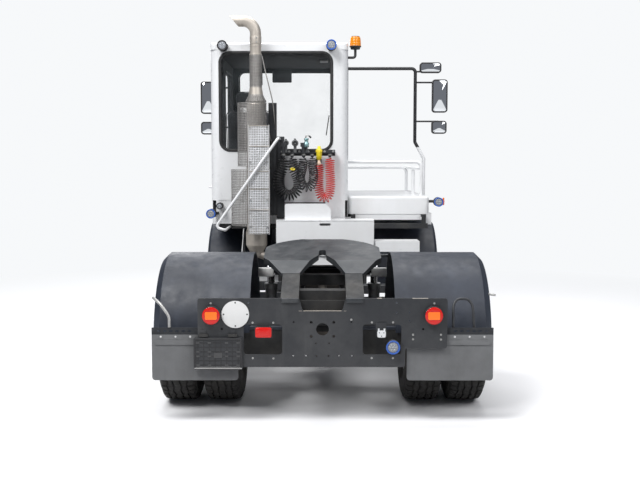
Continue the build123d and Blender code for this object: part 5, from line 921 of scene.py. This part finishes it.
def round_stack(x, radius, angle, z):
    """Points about an upright axis beside the stack: x + r cos, the stack's place along + r sin, z."""
    return np.stack((x + radius * np.cos(angle), STACK[1] + radius * np.sin(angle), z), axis=-1)


def add_exhaust_guards():
    """Real holes in the guards, which replace the plain ones; rolled rims and the flat panel between them.

    A guard is a part cylinder, open to the front: its angle runs with u and its height with v.
    """
    for number, (x, radius, low, high) in enumerate(GUARDS):
        stop = np.arcsin(GUARD_STOP / radius)
        reach = np.pi + 2 * stop

        def wrap(u, v):
            return round_stack(x, radius, np.pi - stop + u * reach, low + v * (high - low))

        sheet = perforated(round(radius * reach / HOLE_PITCH), round((high - low) / HOLE_PITCH), wrap)
        thickened(put(f"exhaust_guard_wrap_{number}", sheet, GUARD_STEEL), 0.002)
        angle = np.linspace(np.pi - stop, TURN + stop, 60)
        for end, z in (("low", low), ("high", high)):
            ring = round_stack(x, radius, angle, np.full(60, z))
            put(f"exhaust_guard_rim_{number}_{end}", swept(ring, 0.0035, 8, UP), GUARD_STEEL)

    def panel(u, v):
        return np.stack((-0.71 + u * 0.196, np.full_like(u, -0.087), 1.165 + v * 1.045), axis=-1)

    flat = thickened(put("exhaust_guard_panel", perforated(12, 65, panel), PANEL_STEEL), 0.003)
    for name, x in (("left", -0.71), ("right", -0.514)):
        edge = ((x - 0.004, -0.094, 1.16), (x + 0.004, -0.08, 2.214))
        put_boxes(f"exhaust_panel_edge_{name}", (edge,), BRIGHT_STEEL)
    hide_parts("exhaust_guard")


# Exhaust fittings


def sleeve(low, high, radius, lip):
    """A band round the stack between two heights, with an eased edge."""
    inner = radius - 0.006
    outer = radius + lip
    rise = ((low, inner), (low, radius), (low + 0.002, outer), (high - 0.002, outer), (high, radius))
    return (*rise, (high, inner), (low, inner))


# Each row: low, high, radius, how far the band stands out
STACK_BANDS = ((2.998, 3.072, 0.0565, 0.0005), (2.893, 2.905, 0.0595, 0.001), (2.975, 2.983, 0.058, 0.0))
STACK_STAYS = (
    ("stack_stay", ((-0.594, 0.13, 2.893), (-0.487, 0.175, 2.44), (-0.462, 0.216, 2.13)), 0.0055),
    ("guard_stay", ((-0.545, 0.15, 2.2), (-0.5, 0.19, 2.04)), 0.006),
)
# Corners of the black gusset, as (across, up)
GUSSET = ((-0.64, 2.905), (-0.59, 2.905), (-0.586, 2.61), (-0.6, 2.61))
GUSSET_FACES = ((0, 1, 2, 3), (4, 7, 6, 5), (0, 4, 5, 1), (1, 5, 6, 2), (2, 6, 7, 3), (3, 7, 4, 0))


def add_exhaust_fittings():
    """Clamps round the pipe, a perforated sleeve over its foot, the black gusset and the thin stays."""
    for number, band in enumerate(STACK_BANDS):
        put(f"stack_clamp_{number}", turned(sleeve(*band), (*STACK, 0.0), UP, 56, False), STAINLESS)
    bolts = [(STACK[0] + 0.012, STACK[1] - 0.0585, z) for z in (3.014, 3.056)]
    put_heads("stack_clamp_bolts", bolts, BACKWARD, 0.0055, 0.007)

    def wrap(u, v):
        radius = 0.0595 + 0.042 * np.clip((0.22 - v) / 0.2, 0, 1) ** 1.2
        return round_stack(STACK[0], radius, TURN * u, 2.44 + v * 0.455)

    thickened(put("stack_sleeve", perforated(26, 32, wrap, 0.3), GUARD_STEEL), 0.0016)
    gusset = np.array([[(x, y, z) for x, z in GUSSET] for y in (0.152, 0.158)])
    put("stack_gusset", (gusset, GUSSET_FACES), FRAME_BLACK, smooth=False)
    for name, route, radius in STACK_STAYS:
        path = smooth_path(route, 0.06) if len(route) > 2 else route
        put(name, swept(path, radius, 10), GUARD_STEEL)
    # Rolled seams and clips where the flat panel's sheets meet
    clips = [
        ((x - 0.012, -0.0985, z - 0.004), (x + 0.012, -0.0905, z + 0.004))
        for x in (-0.695, -0.53)
        for z in (2.19, 1.86, 1.5, 1.24)
    ]
    put_boxes("guard_clips", clips, ZINC)
    heights = (2.206, 2.01, 1.77, 1.6, 1.4)
    seams = [((-0.708, -0.0945, z - 0.0035), (-0.516, -0.0895, z + 0.0035)) for z in heights]
    put_boxes("guard_seams", seams, STAINLESS)


# Rack: coupling heads, valves and caps

# Profiles as (along, radius). The first two are for a head of radius 1
HEAD = ((0, 0.6), (0.35, 0.95), (0.6, 1.0), (1.3, 1.0), (1.5, 0.86), (1.5, 0.52), (1.3, 0.48), (1.3, 0))
HEAD_SEAL = ((1.28, 0.62), (1.58, 0.6), (1.62, 0.48), (1.5, 0.34), (1.28, 0.34), (1.28, 0.62))
VALVE_BODY = (
    (0, 0.012), (0.004, 0.024), (0.044, 0.026), (0.048, 0.02), (0.07, 0.017), (0.074, 0.022),
    (0.09, 0.022), (0.094, 0),
)
YELLOW_BODY = (
    (0.0, 0.014), (0.004, 0.021), (0.012, 0.022), (0.016, 0.028), (0.098, 0.0285), (0.104, 0.025),
    (0.108, 0.018), (0.13, 0.016), (0.136, 0.01), (0.137, 0),
)
UNION = ((0, 0.01), (0.003, 0.017), (0.034, 0.018), (0.038, 0.013), (0.052, 0.012), (0.055, 0))
# Each row: middle across, middle up, radius
COUPLING_HEADS = ((-0.36, 2.046, 0.029), (-0.27, 2.044, 0.033), (-0.16, 2.036, 0.026))
HANDLE = ((-0.165, 0.15, 2.07), (-0.164, 0.146, 2.118), (-0.14, 0.14, 2.12), (-0.118, 0.138, 2.1))
YELLOW_AT = (-0.034, 0.128)
RACK_BOLTS = (-0.4, -0.33, -0.23, -0.14, 0.02, 0.105)


def add_couplings():
    """Parked coupling heads with rubber seals and levers, the yellow coupling, ribbed caps and unions."""
    for number, (x, z, radius) in enumerate(COUPLING_HEADS):
        centre = (x, 0.182, z)
        put(f"coupling_head_{number}", turned(np.array(HEAD) * radius, centre, BACKWARD, 36), COUPLING)
        seal = turned(np.array(HEAD_SEAL) * radius, centre, BACKWARD, 36, False)
        put(f"coupling_seal_{number}", seal, RUBBER)
        ear = ((x - 0.01, 0.14, z + radius * 0.8), (x + 0.01, 0.158, z + radius * 1.35))
        foot = ((x - 0.014, 0.148, 1.953), (x + 0.014, 0.172, z - radius * 0.6))
        put_boxes(f"coupling_lug_{number}", (ear, foot), COUPLING)
    put("valve_handle", swept(smooth_path(HANDLE, 0.02), 0.006, 10, (0, 1, 0.2)), ZINC)
    put("valve_grip", swept(((-0.132, 0.139, 2.114), (-0.112, 0.137, 2.096)), 0.0085, 10), TRIM)
    put("valve_body", turned(VALVE_BODY, (-0.158, 0.13, 2.0), UP, 32), TEAL_METAL)
    put("coupling_yellow", turned(YELLOW_BODY, (*YELLOW_AT, 1.88), UP, 40), YELLOW)
    ribs = []
    for angle in np.arange(10) * TURN / 10:
        x = YELLOW_AT[0] + 0.0295 * np.cos(angle)
        y = YELLOW_AT[1] + 0.0295 * np.sin(angle)
        ribs.append(swept(((x, y, 1.946), (x, y, 1.978)), 0.0026, 6))
    put("coupling_yellow_ribs", joined(ribs), YELLOW)
    put("coupling_union", turned(UNION, (*YELLOW_AT, 1.826), UP, 28), PALE_UNION)
    angle = np.arange(13) * TURN / 12
    ring = np.stack((0.006 * np.sin(angle), 0.019 + 0.006 * np.cos(angle)), axis=-1)
    put("cap_yellow", turned(ring, (-0.292, 0.086, 1.79), (0.1, -0.45, 0.9), 40, False), YELLOW)
    nuts = [(x, 0.15, 1.925) for x in (-0.3, -0.385, -0.1, -0.186, 0.072)]
    put_heads("shelf_nuts", nuts, UP, 0.019, 0.016)
    put_heads("rack_bolts", [(x, 0.2045, 1.962) for x in RACK_BOLTS], BACKWARD, 0.008, 0.006)
    # Notched cover and edges on the case beside the rack's post
    heights = np.arange(1.36, 2.4, 0.062)
    put_boxes("case_teeth", [((-0.529, 0.1985, z), (-0.498, 0.2055, z + 0.022)) for z in heights], TRIM)
    edges = [((x, 0.199, 1.335), (x + 0.004, 0.2055, 2.435)) for x in (-0.49, -0.459)]
    put_boxes("case_edges", edges, FRAME_BLACK)


# Rear plate: lamps, bare disc, bare holder, bolts and the small fittings

PLATE_FACE = -2.615
TAIL_LAMPS = ((-0.785, 0.784), (0.785, 0.784))
TAIL_FACE = ((0, 0.062), (0.005, 0.0625), (0.0075, 0.059), (0.0088, 0.045), (0.0094, 0.0))
TAIL_BEZEL = (
    (-0.004, 0.069), (0.002, 0.0695), (0.0062, 0.067), (0.0068, 0.0635), (0.003, 0.0615),
    (-0.004, 0.0615), (-0.004, 0.069),
)
# Bright bolt heads on the rear plate, as (across, up)
PLATE_BOLTS = (
    (-0.494, 0.73), (-0.348, 0.73), (0.349, 0.733), (0.499, 0.733), (-0.494, 0.476), (-0.348, 0.474),
    (0.349, 0.477), (0.499, 0.477), (0.204, 0.752), (0.641, 0.645), (0.641, 0.612), (0.838, 0.645),
    (0.838, 0.61), (-0.789, 0.868), (0.789, 0.868),
)
# Bare steel along the notch and the plate's top edge, as (across, up, length)
WORN_EDGES = (
    (-0.137, 0.8125, 0.274), (-0.168, 0.8125, 0.022), (0.15, 0.8125, 0.018), (0.635, 0.9015, 0.11),
    (0.385, 0.902, 0.035),
)
DISC_AT = (-0.616, -2.6178, 0.79)
# Profiles for a lamp's face of depth 1 and radius 1
LED_RIM = ((0, 1.02), (0.9, 1.02), (1.0, 0.95), (1.0, 0.82), (0.5, 0.77), (0, 0.77), (0, 1.02))
LED_FACE = ((0, 0.74), (0.45, 0.74), (0.6, 0.66), (0.65, 0.0))
LED_DIODE = ((0, 0.17), (0.28, 0.16), (0.4, 0.1), (0.42, 0.0))


def pad(low, high, y, radius, depth, edge=0.003):
    """A rounded plate seen from behind, its front edge eased."""
    loop = rounded_loop(low[0], high[0], low[1], high[1], radius, 6)
    profile = ((0, 0), (0, depth - edge), (-edge * 0.3, depth - edge * 0.3), (-edge, depth))
    return capped(loop, profile, facing_back(y))


def add_rear_lamps():
    """Lens faces on the round tail lamps, the marker and the work lamp in the plate's window."""
    for (x, z), word in zip(TAIL_LAMPS, ("left", "right")):
        centre = (x, PLATE_FACE - 0.029, z)
        put(f"tail_lamp_lens_{word}", turned(TAIL_FACE, centre, BACKWARD, 64), TAIL_LENS)
        bezel = turned(TAIL_BEZEL, centre, BACKWARD, 64, False)
        put(f"tail_lamp_bezel_{word}", bezel, RUBBER, slot="lamp_plastic")
    put("marker_lens", pad((-0.474, 0.628), (-0.359, 0.701), -2.641, 0.014, 0.008, 0.005), RED_LENS)
    add_led("plate_work_lamp", (0.498, -2.645, 0.558), 0.049, BLUE_RING, 0.004)


def add_led(name, centre, radius, ring_material, depth=0.006):
    """A round work lamp's face: a coloured rim, a dark groove and a ribbed grey centre with diodes."""
    size = (depth, radius)
    rim = turned(np.array(LED_RIM) * size, centre, BACKWARD, 48, False)
    put(f"{name}_rim", rim, ring_material, slot="lamp_plastic")
    put(f"{name}_lens", turned(np.array(LED_FACE) * size, centre, BACKWARD, 40), LED_GREY)
    angle = np.arange(6) * TURN / 6
    ring = np.stack((np.cos(angle), np.zeros(6), np.sin(angle)), axis=-1) * radius * 0.42
    diode = turned(np.array(LED_DIODE) * size, (0, -0.6 * depth, 0), BACKWARD, 12)
    spots = np.concatenate((ring, np.zeros((1, 3)))) + np.asarray(centre)
    put(f"{name}_diodes", repeated(*diode, spots), WHITE_LENS)


def add_plate_fittings():
    """The bare white disc, the bare plate holder, the hook's plate, bolt heads and edges worn bright."""
    disc = ((0, 0.1), (0.0014, 0.1), (0.0018, 0.0985), (0.0018, 0.0))
    put("speed_disc", turned(disc, DISC_AT, BACKWARD, 72), DISC_WHITE)
    rim = ((0.001, 0.1003), (0.0026, 0.1003), (0.0026, 0.0975), (0.001, 0.0975), (0.001, 0.1003))
    put("speed_disc_rim", turned(rim, DISC_AT, BACKWARD, 72, False), TRIM)
    pins = [(-0.616 + 0.083 * x, -2.6196, 0.79 + 0.083 * z) for x, z in ((0, 1), (0, -1), (1, 0), (-1, 0))]
    put_heads("speed_disc_screws", pins, BACKWARD, 0.0038, 0.002, TRIM)
    put_heads("plate_bolts", [(x, PLATE_FACE, z) for x, z in PLATE_BOLTS], BACKWARD, 0.0052, 0.005)
    add_holder()
    ears = [slab((x, -2.649, 0.676), (x + 0.012, -2.644, 0.694)) for x in (0.39, 0.43)]
    hook = joined((pad((0.386, 0.63), (0.446, 0.68), -2.6465, 0.012, 0.003, 0.001), *ears))
    put("hook_plate", hook, WHITE, smooth=False)
    pins = [(0.4, -2.6493, 0.664), (0.432, -2.6493, 0.664), (0.416, -2.6493, 0.64)]
    put_heads("hook_plate_screws", pins, BACKWARD, 0.004, 0.0005, TRIM)
    strips = [
        ((x, PLATE_FACE - 0.0006, z), (x + long, PLATE_FACE + 0.014, z + 0.0028)) for x, z, long in WORN_EDGES
    ]
    put_boxes("plate_worn_edges", strips, STAINLESS)


# The holder's face
HOLDER_Y = -2.6365


def add_holder():
    """The bare number plate holder: a raised border, a grid of moulded ribs, clips and a pale lower lip."""
    loop = rounded_loop(-0.907, -0.569, 0.402, 0.622, 0.01, 5)
    border = ((0, 0), (0, 0.0035), (-0.003, 0.0045), (-0.01, 0.0045), (-0.013, 0.0035), (-0.013, 0))
    put("holder_border", framed(loop, border, facing_back(-2.6368)), TRIM)
    across = np.linspace(-0.88, -0.596, 8)
    up = np.linspace(0.43, 0.59, 6)
    ribs = [((x - 0.0022, -2.6398, 0.416), (x + 0.0022, HOLDER_Y, 0.608)) for x in across]
    ribs += [((-0.893, -2.6396, z - 0.0022), (-0.583, HOLDER_Y, z + 0.0022)) for z in up]
    put_boxes("holder_ribs", ribs, TRIM)
    cells = [(x, z) for x in across[[0, 2, 5, 7]] for z in up[[0, 2, 3, 5]]]
    clips = [((x - 0.012, -2.6408, z - 0.006), (x + 0.012, HOLDER_Y, z + 0.006)) for x, z in cells]
    put_boxes("holder_clips", clips, DARK_GREY)
    window = pad((-0.768, 0.482), (-0.708, 0.52), -2.6366, 0.004, 0.004, 0.001)
    put("holder_window", window, DARK_GREY, smooth=False)
    lip = (
        ((-0.905, -2.6415, 0.404), (-0.571, HOLDER_Y, 0.4115)),
        ((-0.905, -2.6405, 0.4155), (-0.571, HOLDER_Y, 0.4175)),
    )
    put_boxes("holder_lip", lip, ALLOY_TRIM)
    hinges = [((x - 0.032, -2.64, 0.632), (x + 0.032, -2.6215, 0.652)) for x in (-0.841, -0.635)]
    put_boxes("holder_hinges", hinges, FRAME_BLACK)


HANGER_LEFT = (
    (-1.222, -2.47, 0.888), (-1.16, -2.52, 0.848), (-1.092, -2.56, 0.765), (-1.088, -2.585, 0.69)
)
HANGER_RIGHT = (
    (0.93, -2.575, 0.69), (0.935, -2.52, 0.842), (0.965, -2.5, 0.884), (1.045, -2.5, 0.884),
    (1.075, -2.52, 0.842), (1.078, -2.575, 0.69),
)


def mirrored(side, near, far, low, high):
    """A box's corners, given its reach across on the right side."""
    first, last = sorted((side * near, side * far))
    return (first, *low), (last, *high)


def add_flap_fittings():
    """Rivets on the mudflaps, the bent brackets beside the fenders, and the ramps' wear plates."""
    for side, word in SIDES:
        rivets = [(side * x, -2.6005, 0.627) for x in np.linspace(0.625, 1.148, 6)]
        put_heads(f"flap_rivets_{word}", rivets, BACKWARD, 0.0048, 0.005, BRIGHT_STEEL)
    put("hanger_bracket_left", swept(smooth_path(HANGER_LEFT, 0.03), 0.0105, 12), ALLOY_TRIM)
    put("hanger_bracket_right", swept(smooth_path(HANGER_RIGHT, 0.03), 0.0095, 12), PLATE_BLACK)
    put("hanger_tie_right", swept(((1.2, -2.448, 0.912), (1.246, -2.47, 0.906)), 0.008, 12), ALLOY_TRIM)
    for side, word in SIDES:
        box = mirrored(side, 0.168, 0.289, (-2.626, 0.872), (-2.6145, 0.9035))
        put_block(f"ramp_wear_plate_{word}", *box, GREASED, 0.003)


# Driver's seat

SEAT_X = -0.775
BACK_FOOT = np.array((SEAT_X, 0.925, 1.793))
BACK_UP = np.array((0.0, -0.2, 1.0)) / np.hypot(0.2, 1.0)
BACK_FRONT = np.array((0.0, 1.0, 0.2)) / np.hypot(0.2, 1.0)
CUSHION_SWELL = 0.008


def on_back(u, v, proud):
    """Puts a flat drawing on the seat's back: u across, v up the back, proud towards the wheel."""
    y, z = (BACK_FOOT[axis] + v * BACK_UP[axis] + proud * BACK_FRONT[axis] for axis in (1, 2))
    return np.stack((SEAT_X + u, y, z), axis=-1)


def on_seat(u, v, proud):
    """Puts a flat drawing on the seat's base: u across, v along, proud up."""
    return np.stack((SEAT_X + u, v, 1.682 + proud), axis=-1)


# Each row: name, loop, depth, how far the middle rises, where it lies, how far it is lifted
CUSHIONS = (
    ("seat_base_pad", rounded_loop(-0.248, 0.248, 0.932, 1.428, 0.07), 0.1, 0.012, on_seat, 0.0),
    ("seat_back_pad", rounded_loop(-0.232, 0.232, 0.008, 0.612, 0.06), 0.1, 0.012, on_back, -0.05),
    ("seat_headrest", rounded_loop(-0.132, 0.132, 0.644, 0.806, 0.045), 0.08, 0.006, on_back, -0.04),
)


def cushion_profile(depth, crown):
    """From the back's edge to the front's, as (out, proud): round rims, and a front that rises by crown."""
    rim = ((-0.05, 0.004), (-0.02, 0.003), (-0.01, 0.007))
    wall = ((-0.005, depth * 0.3), (-0.004, depth * 0.55), (-0.007, depth * 0.8), (-0.018, depth - 0.01))
    return (*rim, *wall, (-0.05, depth - 0.006 + crown * 0.4), (-0.11, depth - 0.006 + crown))


def baked(piece):
    """Give a piece the mesh that its modifiers make, and take them off."""
    mesh = bpy.data.meshes.new_from_object(evaluated(piece))
    piece.modifiers.clear()
    piece.data = mesh
    return mesh


def plumped(piece, cap, voxel=0.006):
    """Swell a pad as cloth with air in it, each point by cap * tanh(travel / cap), then divide it once."""
    remesh = piece.modifiers.new("even", "REMESH")
    remesh.mode = "VOXEL"
    remesh.voxel_size = voxel
    mesh = baked(piece)
    cloth = piece.modifiers.new("air", "CLOTH")
    cloth.settings.use_pressure = True
    cloth.settings.uniform_pressure_force = 4.0
    cloth.settings.effector_weights.gravity = 0.0
    scene = bpy.context.scene
    for step in range(1, 21):
        scene.frame_set(step)
    at_rest = coordinates(mesh)
    travel = coordinates(piece.evaluated_get(bpy.context.evaluated_depsgraph_get()).data) - at_rest
    piece.modifiers.clear()
    scene.frame_set(1)
    far = np.maximum(np.linalg.norm(travel, axis=1, keepdims=True), 1e-9)
    moved = at_rest + travel / far * cap * np.tanh(far / cap)
    mesh.vertices.foreach_set("co", moved.ravel())
    mesh.polygons.foreach_set("use_smooth", np.ones(len(mesh.polygons), dtype=bool))
    finer = piece.modifiers.new("finer", "SUBSURF")
    finer.levels = 1
    finer.render_levels = 1


def add_seat():
    """Three plump cushions with piping, and the headrest's two posts."""
    for name, loop, depth, crown, place, lift in CUSHIONS:

        def lifted(u, v, proud):
            return place(u, v, proud + lift)

        piece = put(name, capped(loop, cushion_profile(depth, crown), lifted), CLOTH)
        plumped(piece, CUSHION_SWELL)
        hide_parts("seat_cushions")
        turn = np.arange(9) * TURN / 8
        cord = np.stack((0.001 + 0.0042 * np.cos(turn), depth * 0.5 + 0.0042 * np.sin(turn)), axis=-1)
        put(f"{name}_piping", framed(loop, cord, lifted), TRIM, slot="seat_fabric")
    for side, word in SIDES:
        low, high = (BACK_FOOT + BACK_UP * reach + (side * 0.065, 0, 0) for reach in (0.59, 0.67))
        put(f"headrest_post_{word}", swept((low, high), 0.0075), CHROME)


# Inside of the cab

# Bars on the windscreen. Each row: name, ends as (across, up the slope), how proud, radius, material
WIPERS = (
    ("wiper_arm_0", ((-0.11, 0.1), (0.0, 0.165)), 0.016, 0.007, TRIM),
    ("wiper_arm_1", ((0.1, 0.19), (0.04, 0.262)), 0.016, 0.007, TRIM),
    ("wiper_blade_0", ((0.045, 0.08), (0.384, 0.625)), 0.014, 0.006, RUBBER),
    ("wiper_blade_1", ((0.09, 0.13), (0.182, 0.333)), 0.014, 0.006, RUBBER),
)
# Each row: middle across, radius
DIALS = ((-0.865, 0.038), (-0.775, 0.048), (-0.685, 0.038))


def add_cab_inside():
    """The ceiling's box and lamp, the wipers, and the dials and switches on the dashboard."""
    put_block("ceiling_box", (-0.597, 2.2, 2.8), (-0.368, 2.26, 2.94), TRIM, 0.012, 3)
    put_block("ceiling_lamp", (-0.028, 1.2, 2.945), (0.061, 1.35, 2.966), PALE_TRIM, 0.006, 3)
    for name, ends, proud, radius, material in WIPERS:
        line = on_screen(*np.array(ends), np.full(2, proud))
        put(name, swept(line, radius, 8), material)
    put_block("dial_hood", (-0.935, 2.0, 1.796), (-0.615, 2.08, 1.93), TRIM, 0.01, 3)
    for number, (x, radius) in enumerate(DIALS):
        centre = (x, 2.0, 1.866)
        rim = ((0.0, radius), (0.005, radius), (0.006, radius * 0.93), (0.002, radius * 0.9), (0.002, 0.0))
        put(f"dial_{number}", turned(rim, centre, BACKWARD, 40), ALLOY_TRIM)
        face = ((0.0018, radius * 0.88), (0.0026, radius * 0.87), (0.0026, 0.0))
        put(f"dial_face_{number}", turned(face, centre, BACKWARD, 40), TRIM)
        pointer = ((x - 0.0012, 1.9955, 1.856), (x + 0.0012, 1.9968, 1.866 + radius * 0.75))
        put_boxes(f"dial_pointer_{number}", (pointer,), RED_LENS)
    switches = [
        ((x - 0.011, 1.964, z - 0.013), (x + 0.011, 1.984, z + 0.013))
        for x in np.arange(-0.56, -0.33, 0.034)
        for z in (1.734, 1.768)
    ]
    put_boxes("dash_switches", switches, DARK_GREY)
    put_block("switch_panel", (-0.585, 1.97, 1.712), (-0.32, 2.0, 1.79), TRIM, 0.006)


# Front: head lamps, grille and bumper

HEAD_DOME = ((0.0, 0.077), (0.004, 0.078), (0.009, 0.07), (0.014, 0.05), (0.017, 0.025), (0.0175, 0.0))
HEAD_RING = ((0.0, 0.084), (0.009, 0.085), (0.011, 0.08), (0.008, 0.076), (0.0, 0.076), (0.0, 0.084))


def add_front():
    """Head lamps with bright rims, mesh behind the nose's slots, rubber on the bumper and its bolts."""
    for side, word in SIDES:
        centre = (side * 0.9, 2.6445, 0.65)
        put(f"head_lamp_lens_{word}", turned(HEAD_DOME, centre, FORWARD, 56), WHITE_LENS)
        put(f"head_lamp_rim_{word}", turned(HEAD_RING, centre, FORWARD, 56, False), CHROME)
        bolts = [(side * x, 2.65, z) for x in (0.52, 1.08) for z in (0.5, 0.76)]
        put_heads(f"bumper_bolts_{word}", bolts, FORWARD, 0.01, 0.008)
        corners = ((side * 1.06 - 0.045, 2.648, 0.63), (side * 1.06 + 0.045, 2.656, 0.672))
        put_block(f"turn_lamp_{word}", *corners, ORANGE_LENS, 0.004, 3)

    def behind_slots(u, v):
        return np.stack((-0.7 + 1.4 * u, np.full_like(u, 2.448), 0.905 + 0.31 * v), axis=-1)

    thickened(put("nose_mesh", perforated(100, 22, behind_slots, 0.38), FRAME_BLACK), 0.002)
    put_block("bumper_strip", (-0.5, 2.6495, 0.776), (0.5, 2.657, 0.802), RUBBER, 0.003)


# Sides: treads, tank straps, hood latches and the rails' bolts

STRAP = ((-0.001, -0.022), (0.002, -0.022), (0.002, 0.022), (-0.001, 0.022))


def add_sides():
    """Grip plates on the steps, tank straps, latches, the door's lock and bolt heads along the rails."""
    for name, z in (("low", 0.5015), ("high", 0.8615)):

        def tread(u, v):
            return np.stack((-1.185 + 0.38 * u, 0.036 + 0.458 * v, np.full_like(u, z)), axis=-1)

        thickened(put(f"step_tread_{name}", perforated(19, 23, tread, 0.3), ALLOY_TRIM), 0.003)
    for side, word in SIDES:
        for number, y in enumerate((-0.93, -0.29)):
            low, high = sorted((side * 0.617, side * 1.153))
            loop = rounded_loop(low, high, 0.467, 0.893, 0.03, 6)
            put(f"tank_strap_{word}_{number}", framed(loop, STRAP, facing_back(y)), ZINC)
    for number, y in enumerate((0.8, 1.45, 2.1)):
        put_block(f"hood_latch_{number}", (1.084, y - 0.035, 1.395), (1.094, y + 0.035, 1.43), TRIM, 0.003)
    put_block("door_lock", (-1.168, 1.196, 1.56), (-1.16, 1.24, 1.64), CHROME, 0.003, body="door")
    for side, word in SIDES:
        bolts = [(side * 0.285, y, z) for y in np.arange(-2.4, -0.1, 0.23) for z in (0.665, 0.815)]
        put_heads(f"rail_bolts_{word}", bolts, (side, 0.0, 0.0), 0.011, 0.009)


# Work lamps, beacon and mirrors

# Each row: name, centre of the face, radius, rim
WORK_LAMPS = (
    ("lamp_top_left", (-0.984, 0.186, 2.997), 0.05, TRIM),
    ("lamp_top_right", (0.087, 0.186, 3.004), 0.05, BLUE_RING),
    ("lamp_small_left", (-1.022, 0.186, 1.424), 0.032, TRIM),
    ("lamp_lower_left", (-1.107, 0.166, 1.347), 0.046, BLUE_RING),
    ("lamp_lower_right", (1.165, 0.29, 1.459), 0.046, BLUE_RING),
)
HOUSING_LENGTH = 0.106
RIB_PITCH = 0.015


def add_work_lamps():
    """Ribbed housings and faces on the round work lamps, and the orange marker beside the right lower one."""
    for name, centre, radius, rim in WORK_LAMPS:
        add_led(name, centre, radius, rim)
        along = np.linspace(-HOUSING_LENGTH, 0, 28)
        sunk = (np.sin((along + HOUSING_LENGTH) * TURN / RIB_PITCH) < 0) * (along < -0.03)
        housing = np.stack((along, radius * (1.015 - 0.035 * sunk)), axis=-1)
        put(f"{name}_housing", turned(housing, centre, BACKWARD, 40), TRIM, smooth=False)
    put("side_marker", pad((1.212, 1.425), (1.23, 1.5), 0.372, 0.007, 0.01), ORANGE_LENS)
    put_boxes("side_marker_arm", (((1.172, 0.371, 1.452), (1.232, 0.377, 1.468)),), TRIM)


BEACON_AT = (0.328, 0.4, 3.01)
BEACON_DOME = (
    (0.0, 0.055), (0.012, 0.0545), (0.014, 0.053), (0.017, 0.0543), (0.038, 0.0532), (0.04, 0.0518),
    (0.043, 0.053), (0.064, 0.0515), (0.066, 0.05), (0.069, 0.051), (0.084, 0.049), (0.094, 0.043),
    (0.0995, 0.03), (0.101, 0.0),
)
BEACON_FOOT = ((-0.028, 0.046), (-0.008, 0.05), (-0.006, 0.058), (0.003, 0.059), (0.005, 0.055))


def add_beacon():
    """An amber dome with moulded rings on a black foot."""
    put("beacon_dome", turned(np.array(BEACON_DOME) * (1, 1.03), BEACON_AT, UP), AMBER)
    put("beacon_foot", turned(BEACON_FOOT, BEACON_AT, UP), TRIM)


# Each row: middle across, middle up, width, height, face's place along
MIRRORS = (
    (1.36, 2.62, 0.18, 0.38, 1.9),
    (1.355, 2.26, 0.175, 0.15, 1.9),
    (1.25, 2.945, 0.25, 0.12, 1.9),
    (-1.36, 2.62, 0.18, 0.38, 2.19),
    (-1.36, 2.26, 0.18, 0.15, 2.19),
)
MIRROR_LIP = ((-0.004, -0.002), (-0.003, 0.004), (0.003, 0.005), (0.009, 0.003), (0.01, -0.002))


def add_mirror_faces():
    """Silvered glass inside a raised rubber lip on each mirror head."""
    for number, (x, z, width, height, y) in enumerate(MIRRORS):
        low = np.array((x - width / 2, z - height / 2)) + 0.012
        high = np.array((x + width / 2, z + height / 2)) - 0.012
        put(f"mirror_glass_{number}", pad(low, high, y + 0.001, 0.022, 0.003, 0.001), MIRROR)
        loop = rounded_loop(low[0], high[0], low[1], high[1], 0.024)
        put(f"mirror_lip_{number}", framed(loop, MIRROR_LIP, facing_back(y)), RUBBER)


# Between the rails


def add_chassis_fittings():
    """White eye blocks by the lift rods, the box's strip, and dark plates behind the rear openings that are
    painted shade for the dim space under the vehicle.
    """
    # Painted shade: black plates behind the plate's notch and windows stand in for the shadow under the
    # vehicle
    shade_plates = [((-0.206, -2.47, 0.64), (0.206, -2.458, 0.868))]
    shade_plates += [mirrored(side, 0.283, 0.578, (-2.43, 0.455), (-2.42, 0.712)) for side in (-1, 1)]
    put_boxes("rear_shade_plates", shade_plates, FRAME_BLACK, "frame_paint")
    for side, word in SIDES:
        box = mirrored(side, 0.405, 0.53, (-1.462, 0.918), (-1.42, 0.99))
        put_block(f"rod_eye_block_{word}", *box, WORN_WHITE, 0.004, body="boom")
    put_block("box_strip", (-0.372, 0.086, 1.4535), (0.03, 0.104, 1.466), RUBBER, 0.003)


def main():
    """Dress the whole vehicle."""
    add_camera()
    add_world()
    add_studio()
    add_curly_lines()
    paint_nodes()
    add_tyres()
    add_wheel_fittings()
    add_gaskets()
    add_exhaust_guards()
    add_exhaust_fittings()
    add_couplings()
    add_rear_lamps()
    add_plate_fittings()
    add_flap_fittings()
    add_work_lamps()
    add_beacon()
    add_mirror_faces()
    add_seat()
    add_cab_inside()
    add_chassis_fittings()
    add_front()
    add_sides()


main()
